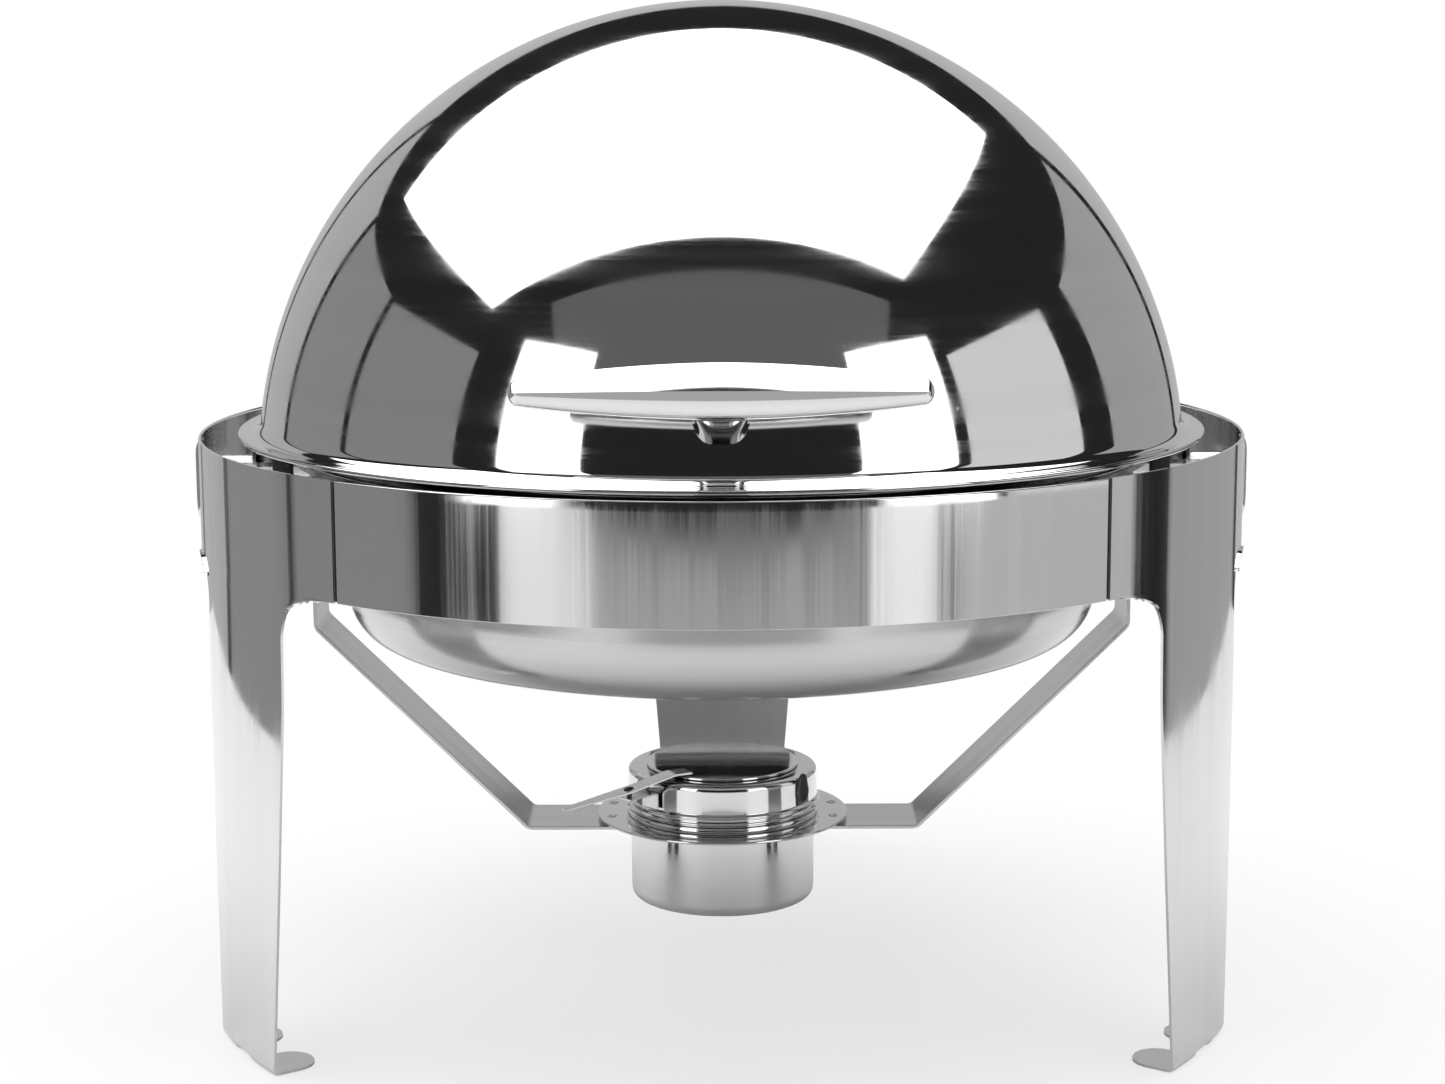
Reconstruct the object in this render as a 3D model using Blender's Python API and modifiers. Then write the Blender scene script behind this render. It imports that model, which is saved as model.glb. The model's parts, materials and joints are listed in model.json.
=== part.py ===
"""Round roll top chafer: a three-legged ring stand, two nested pans, a spirit burner
slung under them on two straps, and a hemispherical lid that rolls back on two side pivots.

Frame: metres, +Z up, the stand's axis is the Z axis, feet on Z = 0, the front is -Y.
"""
import math

import bmesh
import bpy
from mathutils import Matrix, Vector

# ---- driving dimensions ----------------------------------------------------------------
GAP = 0.0003            # clearance between touching pieces
SHEET = 0.0012          # stand sheet thickness

RING_R = 0.240          # outer radius of the ring and of the legs
RING_TOP = 0.263
BAND_H = 0.050
LEG_AZIMUTHS = {"rear_leg": 90.0, "front_left_leg": 210.0, "front_right_leg": 330.0}
PANEL_HALF = 19.5       # half angle of a leg's ring panel, in degrees
SEAM_GAP = 0.0008       # gap at each seam between a leg panel and a band
LEG_HALF_FLOOR = 0.0315
LEG_HALF_MID = 0.0385
LEG_HALF_TOP = 0.0440
ARCH_R = 0.021          # fillet between a leg and its ring panel
FLOOR_R = 0.2428        # outer radius of the legs at the floor: they splay a little
SPLAY_TOP = 0.190       # height at which a leg starts to splay
FOOT_W = 0.0225
FOOT_L = 0.0240

PIVOT_Z = 0.244         # height of the lid's roll axis, which runs along X
DOME_R = 0.2134
DOME_T = 0.0010
BRIM_R = 0.2224
BRIM_TOP = 0.2646
BRIM_FILLET = 0.006

EAR_X = 0.2156          # inner face of a lid ear
EAR_T = 0.0016
PIN_R = 0.0040
SLEEVE_R = 0.0052
COVER_PLATE_T = 0.0040

SUPPORT_R = 0.1865      # outer radius of the pan support ring
SUPPORT_TOP = 0.254
SUPPORT_BOTTOM = 0.215
BRACKET_Z = 0.2335      # top of the brackets that tie the support ring to the stand
BUMPER_RING_R = 0.2165  # distance of the lid's rubber bumpers from the stand's axis

WATER_R = 0.1750
WATER_BOTTOM = 0.1653
WATER_CORNER = 0.030
PAN_RIM_R = 0.198
FOOD_RIM_R = 0.1805
FOOD_R = 0.1715
FOOD_DEPTH = 0.065
FOOD_CORNER = 0.022
PAN_T = 0.0009

STRAP_W = 0.040
STRAP_T = 0.0015
STRAP_X = 0.1869        # inner face of a strap's upright
STRAP_BEND_Z = 0.1710
STRAP_FOOT_X = 0.0905
STRAP_FOOT_Z = 0.0745   # underside of a strap's level end
STRAP_END_X = 0.0475

HOLDER_R = 0.0582
RIVET_X = 0.0525        # places and shank radius of the rivets that hold the burner's ring
RIVET_Y = 0.0120
RIVET_R = 0.0017
HOLDER_HOLE_R = 0.0439
CUP_R = 0.0430
CUP_BOTTOM = 0.0366
CUP_CORNER = 0.0050
COVER_R = 0.0445
COVER_TOP = 0.1000
COVER_HOLE_R = 0.0290
DAMPER_R = 0.0362
DAMPER_PIVOT = (-0.0430, -0.0415)
LEVER_W = 0.0090

HANDLE_HALF_L = 0.0826
HANDLE_HALF_H = 0.0111
HANDLE_HALF_D = 0.0078
HANDLE_Y = -0.2296
HANDLE_Z = 0.3034
NECK_TILT = 15.0        # slope of the handle's neck above level, in degrees

ROUND_STEPS = 48
PIN_STEPS = 16

STEEL = ("mirror_steel", (0.62, 0.62, 0.63), 0.08, 1.0)
SATIN = ("satin_steel", (0.58, 0.58, 0.58), 0.32, 1.0)
RUBBER = ("black_rubber", (0.03, 0.03, 0.03), 0.75, 0.0)


# ---- general helpers -------------------------------------------------------------------
def clear_scene():
    for obj in list(bpy.data.objects):
        bpy.data.objects.remove(obj, do_unlink=True)


def make_collection(name):
    collection = bpy.data.collections.new(name)
    bpy.context.scene.collection.children.link(collection)
    return collection


def material(spec):
    name, colour, roughness, metallic = spec
    mat = bpy.data.materials.get(name)
    if mat is None:
        mat = bpy.data.materials.new(name)
        mat.use_nodes = True
        shader = mat.node_tree.nodes["Principled BSDF"]
        shader.inputs["Base Color"].default_value = (*colour, 1.0)
        shader.inputs["Roughness"].default_value = roughness
        shader.inputs["Metallic"].default_value = metallic
        mat.diffuse_color = (*colour, 1.0)
    return mat


def add_object(name, mesh, collection, spec=STEEL):
    obj = bpy.data.objects.new(name, mesh)
    collection.objects.link(obj)
    mesh.materials.clear()
    mesh.materials.append(material(spec))
    return obj


def smooth(mesh, angle=35.0):
    mesh.shade_smooth()
    mesh.set_sharp_from_angle(angle=math.radians(angle))


def finish_mesh(obj, spec=STEEL, angle=35.0):
    """One material and smooth shading, after a piece has been cut or joined."""
    obj.data.materials.clear()
    obj.data.materials.append(material(spec))
    smooth(obj.data, angle)


def polar(radius, azimuth, z=0.0):
    a = math.radians(azimuth)
    return Vector((radius * math.cos(a), radius * math.sin(a), z))


def arc(cx, cz, radius, start, end, steps):
    """Points on an arc, angles in degrees, both ends included."""
    points = []
    for i in range(steps + 1):
        a = math.radians(start + (end - start) * i / steps)
        points.append((cx + radius * math.cos(a), cz + radius * math.sin(a)))
    return points


def turned(name, profile, collection, spec=STEEL, closed=False, steps=ROUND_STEPS):
    """A turned piece: the profile's (radius, height) points, spun about Z by a Screw modifier."""
    mesh = bpy.data.meshes.new(name)
    count = len(profile)
    edges = [(i, i + 1) for i in range(count - 1)]
    if closed:
        edges.append((count - 1, 0))
    mesh.from_pydata([(r, 0.0, z) for r, z in profile], edges, [])
    obj = add_object(name, mesh, collection, spec)
    screw = obj.modifiers.new("Spin", "SCREW")
    screw.axis = "Z"
    screw.steps = steps
    screw.render_steps = steps
    screw.use_merge_vertices = True
    screw.merge_threshold = 0.00005
    screw.use_smooth_shade = True
    return obj


def baked(obj):
    """Turn an object's modifiers or curve into its own mesh, so that it can be cut."""
    bpy.context.view_layer.update()
    graph = bpy.context.evaluated_depsgraph_get()
    mesh = bpy.data.meshes.new_from_object(obj.evaluated_get(graph))
    name = obj.name
    collection = obj.users_collection[0]
    matrix = obj.matrix_world.copy()
    bpy.data.objects.remove(obj, do_unlink=True)
    work = bmesh.new()
    work.from_mesh(mesh)
    bmesh.ops.remove_doubles(work, verts=work.verts, dist=0.00002)
    bmesh.ops.recalc_face_normals(work, faces=work.faces)
    work.to_mesh(mesh)
    work.free()
    result = bpy.data.objects.new(name, mesh)
    collection.objects.link(result)
    result.matrix_world = matrix
    return result


def flat_plate(name, outline, thickness, collection, spec=STEEL):
    """A closed plate in XY, centred on Z = 0, from a flat filled curve."""
    curve = bpy.data.curves.new(name, "CURVE")
    curve.dimensions = "2D"
    curve.fill_mode = "BOTH"
    curve.extrude = thickness / 2
    spline = curve.splines.new("POLY")
    spline.points.add(len(outline) - 1)
    for point, (x, y) in zip(spline.points, outline):
        point.co = (x, y, 0.0, 1.0)
    spline.use_cyclic_u = True
    obj = bpy.data.objects.new(name, curve)
    collection.objects.link(obj)
    obj = baked(obj)
    finish_mesh(obj, spec)
    return obj


def move_mesh(obj, matrix):
    obj.data.transform(matrix)
    obj.data.update()


def cylinder(name, radius, start, end, collection, spec=STEEL, steps=PIN_STEPS):
    """A round bar between two points."""
    start = Vector(start)
    end = Vector(end)
    work = bmesh.new()
    bmesh.ops.create_cone(work, cap_ends=True, segments=steps, radius1=radius, radius2=radius,
                          depth=(end - start).length)
    mesh = bpy.data.meshes.new(name)
    work.to_mesh(mesh)
    work.free()
    turn = Vector((0, 0, 1)).rotation_difference(end - start).to_matrix().to_4x4()
    mesh.transform(Matrix.Translation((start + end) / 2) @ turn)
    obj = add_object(name, mesh, collection, spec)
    smooth(mesh)
    return obj


def boolean(obj, tool, operation):
    """Apply one exact boolean and remove the tool."""
    modifier = obj.modifiers.new("Boolean", "BOOLEAN")
    modifier.operation = operation
    modifier.solver = "EXACT"
    modifier.object = tool
    bpy.context.view_layer.update()
    graph = bpy.context.evaluated_depsgraph_get()
    mesh = bpy.data.meshes.new_from_object(obj.evaluated_get(graph))
    obj.modifiers.clear()
    obj.data = mesh
    bpy.data.objects.remove(tool, do_unlink=True)


def drill(obj, radius, start, end, cutters, steps=PIN_STEPS):
    tool = cylinder("drill", radius, start, end, cutters, steps=steps)
    tool.display_type = "WIRE"
    tool.hide_render = True
    boolean(obj, tool, "DIFFERENCE")


# ---- stand -----------------------------------------------------------------------------
def wrap_on_ring(obj, azimuth, radius, splay=0.0, step_angle=4.0):
    """Bend a flat plate (X along the ring, Y up, Z outwards) round the stand's axis.

    Below SPLAY_TOP the radius grows evenly, to splay more at the floor.
    """
    mesh = obj.data
    work = bmesh.new()
    work.from_mesh(mesh)
    reach = max(abs(v.co.x) for v in work.verts)
    step = radius * math.radians(step_angle)
    count = int(reach / step)
    for i in range(-count, count + 1):
        geometry = work.verts[:] + work.edges[:] + work.faces[:]
        bmesh.ops.bisect_plane(work, geom=geometry, dist=0.000001,
                               plane_co=(i * step, 0, 0), plane_no=(1, 0, 0))
    for vert in work.verts:
        a = math.radians(azimuth) + vert.co.x / radius
        r = radius + vert.co.z + splay * max(0.0, 1.0 - vert.co.y / SPLAY_TOP)
        vert.co = Vector((r * math.cos(a), r * math.sin(a), vert.co.y))
    bmesh.ops.triangulate(work, faces=work.faces)
    work.to_mesh(mesh)
    work.free()
    smooth(mesh, 30.0)


def leg_outline():
    """Half of a leg's flat pattern, from the floor up one side, mirrored for the other."""
    middle_r = RING_R - SHEET / 2
    panel = middle_r * math.radians(PANEL_HALF) - SEAM_GAP / 2
    band_bottom = RING_TOP - BAND_H
    arch_z = band_bottom - ARCH_R
    half = [(LEG_HALF_FLOOR, 0.0), (LEG_HALF_MID, 0.090), (LEG_HALF_TOP - 0.0004, 0.160)]
    half += [(x, z) for x, z in arc(LEG_HALF_TOP + ARCH_R, arch_z, ARCH_R, 180, 90, 6)]
    half += [(panel, band_bottom), (panel, RING_TOP)]
    return half + [(-x, z) for x, z in reversed(half)]


def foot_tab(azimuth, collection):
    """A round-ended tongue, lying on the floor and pointing at the stand's axis."""
    outer = FLOOR_R - SHEET / 2
    tip = outer - FOOT_L
    end_r = FOOT_W / 2
    outline = [(outer, -end_r), (outer, end_r)]
    outline += arc(tip + end_r, 0.0, end_r, 90, 270, 8)
    obj = flat_plate("foot_tab", outline, SHEET, collection)
    move_mesh(obj, Matrix.Rotation(math.radians(azimuth), 4, "Z")
              @ Matrix.Translation((0, 0, SHEET / 2)))
    return obj


def make_leg(name, azimuth, collection):
    leg = flat_plate(name, leg_outline(), SHEET, collection)
    wrap_on_ring(leg, azimuth, RING_R - SHEET / 2, FLOOR_R - RING_R)
    spread = math.degrees((LEG_HALF_FLOOR - FOOT_W / 2 - 0.0003) / RING_R)
    for side in (-1, 1):
        boolean(leg, foot_tab(azimuth + side * spread, collection), "UNION")
    finish_mesh(leg, angle=30.0)


def make_band(name, azimuth, collection, cutters):
    """A length of the ring between two leg panels."""
    middle_r = RING_R - SHEET / 2
    half = middle_r * math.radians(60.0 - PANEL_HALF) - SEAM_GAP / 2
    low = RING_TOP - BAND_H
    outline = [(-half, low), (half, low), (half, RING_TOP), (-half, RING_TOP)]
    band = flat_plate(name, outline, SHEET, collection)
    wrap_on_ring(band, azimuth, middle_r)
    for side in (-1, 1):
        if abs(((azimuth - (90 - side * 90) + 180) % 360) - 180) < 45:
            drill(band, PIN_R + GAP, (side * (RING_R - 0.004), 0, PIVOT_Z),
                  (side * (RING_R + 0.004), 0, PIVOT_Z), cutters)
    smooth(band.data, 30.0)
    return band


def make_splice(name, azimuth, collection):
    """A curved strap that backs one seam inside the ring."""
    radius = RING_R - SHEET - GAP - SHEET / 2
    low = RING_TOP - BAND_H + 0.003
    high = RING_TOP - 0.003
    half = 0.008
    plate = flat_plate(name, [(-half, low), (half, low), (half, high), (-half, high)],
                       SHEET, collection)
    wrap_on_ring(plate, azimuth, radius)
    return plate


def make_support_ring(collection, cutters):
    inner = SUPPORT_R - SHEET
    profile = [(SUPPORT_R, SUPPORT_TOP), (SUPPORT_R, SUPPORT_BOTTOM),
               (inner, SUPPORT_BOTTOM), (inner, SUPPORT_TOP)]
    ring = baked(turned("pan_support_ring", profile, collection, SATIN, closed=True))
    for side in (-1, 1):
        drill(ring, PIN_R + GAP, (side * (SUPPORT_R - 0.006), 0, PIVOT_Z),
              (side * (SUPPORT_R + 0.006), 0, PIVOT_Z), cutters)
    finish_mesh(ring, SATIN)


def make_support_bracket(name, azimuth, collection):
    """A Z-shaped bracket that ties the pan support ring to the outer ring."""
    inner = SUPPORT_R + GAP
    outer = RING_R - SHEET - 0.0008
    z = BRACKET_Z
    t = 0.0015
    outline = [(inner, 0.2180), (inner + t, 0.2180), (inner + t, z - t), (outer, z - t),
               (outer, z + 0.015), (outer - t, z + 0.015), (outer - t, z), (inner, z)]
    plate = flat_plate(name, outline, 0.024, collection, SATIN)
    upright = Matrix.Rotation(math.radians(90), 4, "X")
    move_mesh(plate, Matrix.Rotation(math.radians(azimuth), 4, "Z") @ upright)
    return plate


def make_lid_bumper(name, azimuth, collection):
    low = BRACKET_Z + GAP
    high = BRIM_TOP - DOME_T - GAP - 0.0004
    start = polar(BUMPER_RING_R, azimuth, low)
    end = polar(BUMPER_RING_R, azimuth, high)
    return cylinder(name, 0.0045, start, end, collection, RUBBER)


# ---- pivots ----------------------------------------------------------------------------
def make_pivots(side, collection):
    """Pin, two sleeves, a nut and the outer cover plate of one pivot."""
    tag = "left" if side < 0 else "right"
    strap_outer = STRAP_X + STRAP_T
    ring_inner = math.sqrt((RING_R - SHEET) ** 2 - SLEEVE_R ** 2)
    cylinder("pivot_pin_" + tag, PIN_R, (side * 0.1795, 0, PIVOT_Z),
             (side * (RING_R - 0.0001), 0, PIVOT_Z), collection)
    make_sleeve("inner_sleeve_" + tag, side, strap_outer + GAP, EAR_X - GAP, collection)
    make_sleeve("outer_sleeve_" + tag, side, EAR_X + EAR_T + GAP, ring_inner - GAP, collection)
    hex_nut("pivot_nut_" + tag, side, collection)
    make_cover_plate("hinge_plate_" + tag, side, collection)


def make_sleeve(name, side, x_from, x_to, collection):
    inner = PIN_R + GAP
    profile = [(SLEEVE_R, x_to), (SLEEVE_R, x_from), (inner, x_from), (inner, x_to)]
    sleeve = turned(name, profile, collection, SATIN, closed=True, steps=PIN_STEPS)
    sleeve = baked(sleeve)
    move_mesh(sleeve, Matrix.Translation((0, 0, PIVOT_Z))
              @ Matrix.Rotation(math.radians(90 * side), 4, "Y"))
    finish_mesh(sleeve, SATIN)


def hex_nut(name, side, collection):
    """A six-sided nut on the pin's inner end, drawn as a plate with a round hole."""
    points = [(0.0062 * math.cos(math.radians(a)), 0.0062 * math.sin(math.radians(a)))
              for a in range(30, 390, 60)]
    nut = flat_plate(name, points, 0.0035, collection, SATIN)
    tool = cylinder("drill", PIN_R + GAP, (0, 0, -0.01), (0, 0, 0.01), collection)
    boolean(nut, tool, "DIFFERENCE")
    centre = SUPPORT_R - SHEET - GAP - 0.0006 - 0.00175
    move_mesh(nut, Matrix.Translation((side * centre, 0, PIVOT_Z))
              @ Matrix.Rotation(math.radians(90 * side), 4, "Y"))


def make_cover_plate(name, side, collection):
    """The long round-ended plate that covers a pivot outside the ring."""
    half_w = 0.0130
    top = RING_TOP - 0.0050
    bottom = top - 0.041
    outline = arc(0.0, bottom + half_w, half_w, 180, 360, 8)
    outline += arc(half_w - 0.004, top - 0.004, 0.004, 0, 90, 3)
    outline += arc(-half_w + 0.004, top - 0.004, 0.004, 90, 180, 3)
    plate = flat_plate(name, outline, COVER_PLATE_T, collection)
    stand = Matrix.Rotation(math.radians(90), 4, "Z") @ Matrix.Rotation(math.radians(90), 4, "X")
    move_mesh(plate, Matrix.Translation((side * (RING_R + GAP + COVER_PLATE_T / 2), 0, 0))
              @ stand)


# ---- burner straps ---------------------------------------------------------------------
def strap_profile():
    """The strap's bent centre line, thickened to its sheet."""
    line = [(STRAP_X + STRAP_T / 2, 0.2535), (STRAP_X + STRAP_T / 2, STRAP_BEND_Z),
            (STRAP_FOOT_X, STRAP_FOOT_Z + STRAP_T / 2), (STRAP_END_X, STRAP_FOOT_Z + STRAP_T / 2)]
    return thick_line(line, STRAP_T)


def thick_line(line, thickness):
    """A closed outline on both sides of an open line, with mitred bends."""
    left = []
    right = []
    for i, point in enumerate(line):
        here = Vector(point)
        before = (here - Vector(line[i - 1])).normalized() if i else None
        after = (Vector(line[i + 1]) - here).normalized() if i < len(line) - 1 else None
        along = ((before or after) + (after or before)).normalized()
        normal = Vector((-along.y, along.x))
        square = Vector((-(before or after).y, (before or after).x))
        reach = thickness / 2 / max(normal.dot(square), 0.3)
        left.append(tuple(here + normal * reach))
        right.append(tuple(here - normal * reach))
    return left + right[::-1]


def make_strap(name, side, collection, cutters):
    strap = flat_plate(name, strap_profile(), STRAP_W, collection, SATIN)
    move_mesh(strap, Matrix.Rotation(math.radians(90), 4, "X"))
    if side < 0:
        move_mesh(strap, Matrix.Rotation(math.radians(180), 4, "Z"))
    drill(strap, PIN_R + GAP, (side * (STRAP_X - 0.005), 0, PIVOT_Z),
          (side * (STRAP_X + 0.006), 0, PIVOT_Z), cutters)
    for y in (-RIVET_Y, RIVET_Y):
        drill(strap, RIVET_R + GAP, (side * RIVET_X, y, STRAP_FOOT_Z - 0.003),
              (side * RIVET_X, y, STRAP_FOOT_Z + 0.004), cutters, steps=10)
    return strap


def make_holder(collection, cutters):
    low = STRAP_FOOT_Z + STRAP_T + GAP
    high = low + SHEET
    profile = [(HOLDER_R, high), (HOLDER_R, low), (HOLDER_HOLE_R, low), (HOLDER_HOLE_R, high)]
    ring = baked(turned("burner_holder_ring", profile, collection, SATIN, closed=True, steps=32))
    for x in (-RIVET_X, RIVET_X):
        for y in (-RIVET_Y, RIVET_Y):
            drill(ring, RIVET_R + GAP, (x, y, low - 0.003), (x, y, high + 0.003), cutters,
                  steps=10)
    finish_mesh(ring, SATIN)


def rivet(name, axis_start, axis_end, shank_r, head_r, head_h, collection):
    """A shank with a low head at each end, as one turned solid."""
    start = Vector(axis_start)
    end = Vector(axis_end)
    length = (end - start).length
    profile = [(0.0, length + head_h), (head_r * 0.7, length + head_h * 0.8), (head_r, length),
               (shank_r, length), (shank_r, 0.0), (head_r, 0.0), (head_r * 0.7, -head_h * 0.8),
               (0.0, -head_h)]
    obj = baked(turned(name, profile, collection, SATIN, steps=10))
    turn = Vector((0, 0, 1)).rotation_difference(end - start).to_matrix().to_4x4()
    move_mesh(obj, Matrix.Translation(start) @ turn)
    finish_mesh(obj, SATIN)


def make_holder_rivets(collection):
    low = STRAP_FOOT_Z - GAP
    high = STRAP_FOOT_Z + STRAP_T + GAP + SHEET + GAP
    for tag, x in (("left", -RIVET_X), ("right", RIVET_X)):
        for place, y in (("front", -RIVET_Y), ("rear", RIVET_Y)):
            rivet(f"holder_rivet_{tag}_{place}", (x, y, low), (x, y, high), RIVET_R, 0.0030,
                  0.0009, collection)


# ---- pans ------------------------------------------------------------------------------
def pan_profile(radius, foot_r, bottom, top, corner, rim_r, lip, bend=0.0015):
    """A round pan: up the inner skin from the axis, over the rim, down the outer skin."""
    inner = [(0.0, bottom + PAN_T)]
    inner += arc(foot_r - corner, bottom + corner, corner - PAN_T, -90, 0, 5)
    inner += [(radius - PAN_T, top - bend), (radius + bend - PAN_T, top), (rim_r, top)]
    outer = [(rim_r, top - lip)]
    if lip > PAN_T:
        outer += [(rim_r - PAN_T, top - lip), (rim_r - PAN_T, top - PAN_T)]
    outer += [(radius + bend, top - PAN_T), (radius, top - PAN_T - bend)]
    outer += arc(foot_r - corner, bottom + corner, corner, 0, -90, 5)
    outer.append((0.0, bottom))
    return inner + outer


def make_pans(collection):
    water_top = SUPPORT_TOP + GAP + PAN_T
    profile = pan_profile(WATER_R, WATER_R, WATER_BOTTOM, water_top, WATER_CORNER, PAN_RIM_R,
                          0.0035)
    turned("water_pan", profile, collection, SATIN)
    food_top = water_top + GAP + PAN_T
    profile = pan_profile(FOOD_R, FOOD_R - 0.003, food_top - FOOD_DEPTH, food_top, FOOD_CORNER,
                          FOOD_RIM_R, PAN_T)
    turned("food_pan", profile, collection, SATIN)


# ---- burner ----------------------------------------------------------------------------
def make_fuel_cup(collection):
    wall = 0.0008
    rest = STRAP_FOOT_Z + STRAP_T + GAP + SHEET + GAP
    rim = rest + 0.0024
    outer = [(CUP_R + 0.0020, rim), (CUP_R + 0.0026, rim - 0.0012), (CUP_R + 0.0020, rest),
             (CUP_R, rest)]
    outer += arc(CUP_R - CUP_CORNER, CUP_BOTTOM + CUP_CORNER, CUP_CORNER, 0, -90, 5)
    outer.append((0.0, CUP_BOTTOM))
    inner = [(0.0, CUP_BOTTOM + wall)]
    inner += arc(CUP_R - CUP_CORNER, CUP_BOTTOM + CUP_CORNER, CUP_CORNER - wall, -90, 0, 5)
    inner.append((CUP_R - wall, rim))
    turned("fuel_cup", inner + outer, collection, STEEL, steps=32)
    return rim


def make_burner_cover(rim, collection):
    wall = 0.0008
    low = rim + GAP
    outer = [(COVER_HOLE_R, COVER_TOP), (COVER_R - 0.003, COVER_TOP),
             (COVER_R - 0.0009, COVER_TOP - 0.0009), (COVER_R, COVER_TOP - 0.003)]
    outer += [(COVER_R, low + 0.0062), (COVER_R + 0.0010, low + 0.0050), (COVER_R, low + 0.0038),
              (COVER_R + 0.0010, low + 0.0024), (COVER_R + 0.0010, low)]
    inner = [(COVER_R - wall, low), (COVER_R - wall, COVER_TOP - 0.003),
             (COVER_R - 0.003, COVER_TOP - wall), (COVER_HOLE_R, COVER_TOP - wall)]
    turned("burner_cover", outer + inner, collection, STEEL, closed=True, steps=32)


def make_cover_bracket(collection, cutters):
    """An L-shaped lug on the cover's wall that carries the damper's pivot."""
    pivot = Vector((*DAMPER_PIVOT, 0.0))
    azimuth = math.atan2(pivot.y, pivot.x)
    wall_r = COVER_R + 0.0006
    reach = pivot.length + 0.0045
    t = 0.0010
    top = 0.0938
    outline = [(wall_r, 0.0871), (wall_r + t, 0.0871), (wall_r + t, top - t), (reach, top - t),
               (reach, top), (wall_r, top)]
    lug = flat_plate("damper_bracket", outline, 0.0105, collection, SATIN)
    move_mesh(lug, Matrix.Rotation(azimuth, 4, "Z") @ Matrix.Rotation(math.radians(90), 4, "X"))
    drill(lug, 0.0016 + GAP, (pivot.x, pivot.y, 0.08), (pivot.x, pivot.y, 0.10), cutters,
          steps=10)
    return lug


def make_keeper(collection):
    """A small drop-shaped keeper plate on the cover's right side."""
    outline = arc(0.0, -0.004, 0.0048, 150, 390, 8) + [(0.0030, 0.0034), (-0.0030, 0.0034)]
    plate = flat_plate("cover_keeper", outline, 0.0010, collection, SATIN)
    stand = Matrix.Rotation(math.radians(90), 4, "Z") @ Matrix.Rotation(math.radians(90), 4, "X")
    move_mesh(plate, Matrix.Rotation(math.radians(-34), 4, "Z")
              @ Matrix.Translation((COVER_R + 0.0010, 0, 0.0962)) @ stand)
    return plate


def make_damper(collection, cutters):
    """The disc that shuts the burner's mouth, and the lever riveted over its edge."""
    low = COVER_TOP + GAP
    profile = [(0.0, low + 0.0012), (DAMPER_R - 0.0012, low + 0.0012), (DAMPER_R, low + 0.0006),
               (DAMPER_R - 0.0004, low), (0.0, low)]
    disc = turned("damper_disc", profile, collection, STEEL, steps=36)
    inner_end = Vector((-0.0160, -0.0280))
    pivot = Vector(DAMPER_PIVOT)
    along = (pivot - inner_end).normalized()
    pivot_s = (pivot - inner_end).length
    top = low + 0.0012 + GAP
    line = [(0.0, top + 0.0005), (pivot_s - 0.0135, top + 0.0005), (pivot_s - 0.0045, 0.0946),
            (pivot_s + 0.0050, 0.0946), (pivot_s + 0.0330, 0.0912)]
    lever = flat_plate("damper_lever", thick_line(line, 0.0010), LEVER_W, collection, SATIN)
    azimuth = math.atan2(along.y, along.x)
    move_mesh(lever, Matrix.Translation((inner_end.x, inner_end.y, 0))
              @ Matrix.Rotation(azimuth, 4, "Z") @ Matrix.Rotation(math.radians(90), 4, "X"))
    drill(lever, 0.0016 + GAP, (pivot.x, pivot.y, 0.09), (pivot.x, pivot.y, 0.10), cutters,
          steps=10)
    return disc, lever


def make_damper_rivet(collection):
    x, y = DAMPER_PIVOT
    rivet("damper_rivet", (x, y, 0.0925 - GAP * 0.5 - 0.00015), (x, y, 0.0951 + GAP),
          0.0016, 0.0030, 0.0009, collection)


# ---- lid -------------------------------------------------------------------------------
def lid_profile():
    """Outer skin from the crown down to the brim's edge, then the inner skin back up."""
    outer_end = math.degrees(math.asin((BRIM_TOP + BRIM_FILLET * 0.8 - PIVOT_Z) / DOME_R))
    inner_r = DOME_R - DOME_T
    outer = arc(0.0, PIVOT_Z, DOME_R, 90, outer_end, 10)
    outer[0] = (0.0, PIVOT_Z + DOME_R)
    brim_start = outer[-1][0] + BRIM_FILLET * 0.55
    outer += [(outer[-1][0] + 0.0012, BRIM_TOP + 0.0014), (brim_start, BRIM_TOP),
              (BRIM_R - 0.0006, BRIM_TOP - 0.0002), (BRIM_R, BRIM_TOP - 0.0009)]
    inner = arc(0.0, PIVOT_Z, inner_r, outer_end, 90, 10)
    inner[-1] = (0.0, PIVOT_Z + inner_r)
    low = BRIM_TOP - DOME_T
    under = [(BRIM_R - 0.0006, low - 0.0002), (brim_start, low),
             (inner[0][0] + 0.0012, low + 0.0008)]
    return outer + under + inner


def neck_axis():
    """Root of the handle's neck on the dome, and the direction it points in."""
    tilt = math.radians(NECK_TILT)
    out = Vector((0.0, -math.cos(tilt), math.sin(tilt)))
    return Vector((0.0, 0.0, PIVOT_Z)), out


def make_lid(collection, cutters):
    shell = baked(turned("lid_shell", lid_profile(), collection, STEEL))
    centre, out = neck_axis()
    for x in (-0.006, 0.006):
        shift = Vector((x, 0, 0))
        drill(shell, 0.0020 + GAP, centre + out * 0.20 + shift, centre + out * 0.22 + shift,
              cutters, steps=10)
    finish_mesh(shell)


def handle_section(half_l, half_h, half_d, t, steps):
    """One closed section of the boat-shaped grip, t running from -1 to 1 along it."""
    swell = max(1.0 - abs(t) ** 2.1, 0.0) ** 0.62
    height = half_h * (0.34 + 0.66 * swell)
    depth = half_d * (0.42 + 0.58 * swell)
    points = []
    for i in range(steps):
        a = 2 * math.pi * i / steps
        y = -depth * math.cos(a)
        z = height * math.sin(a)
        points.append(Vector((half_l * t, y, z)))
    return points


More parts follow.
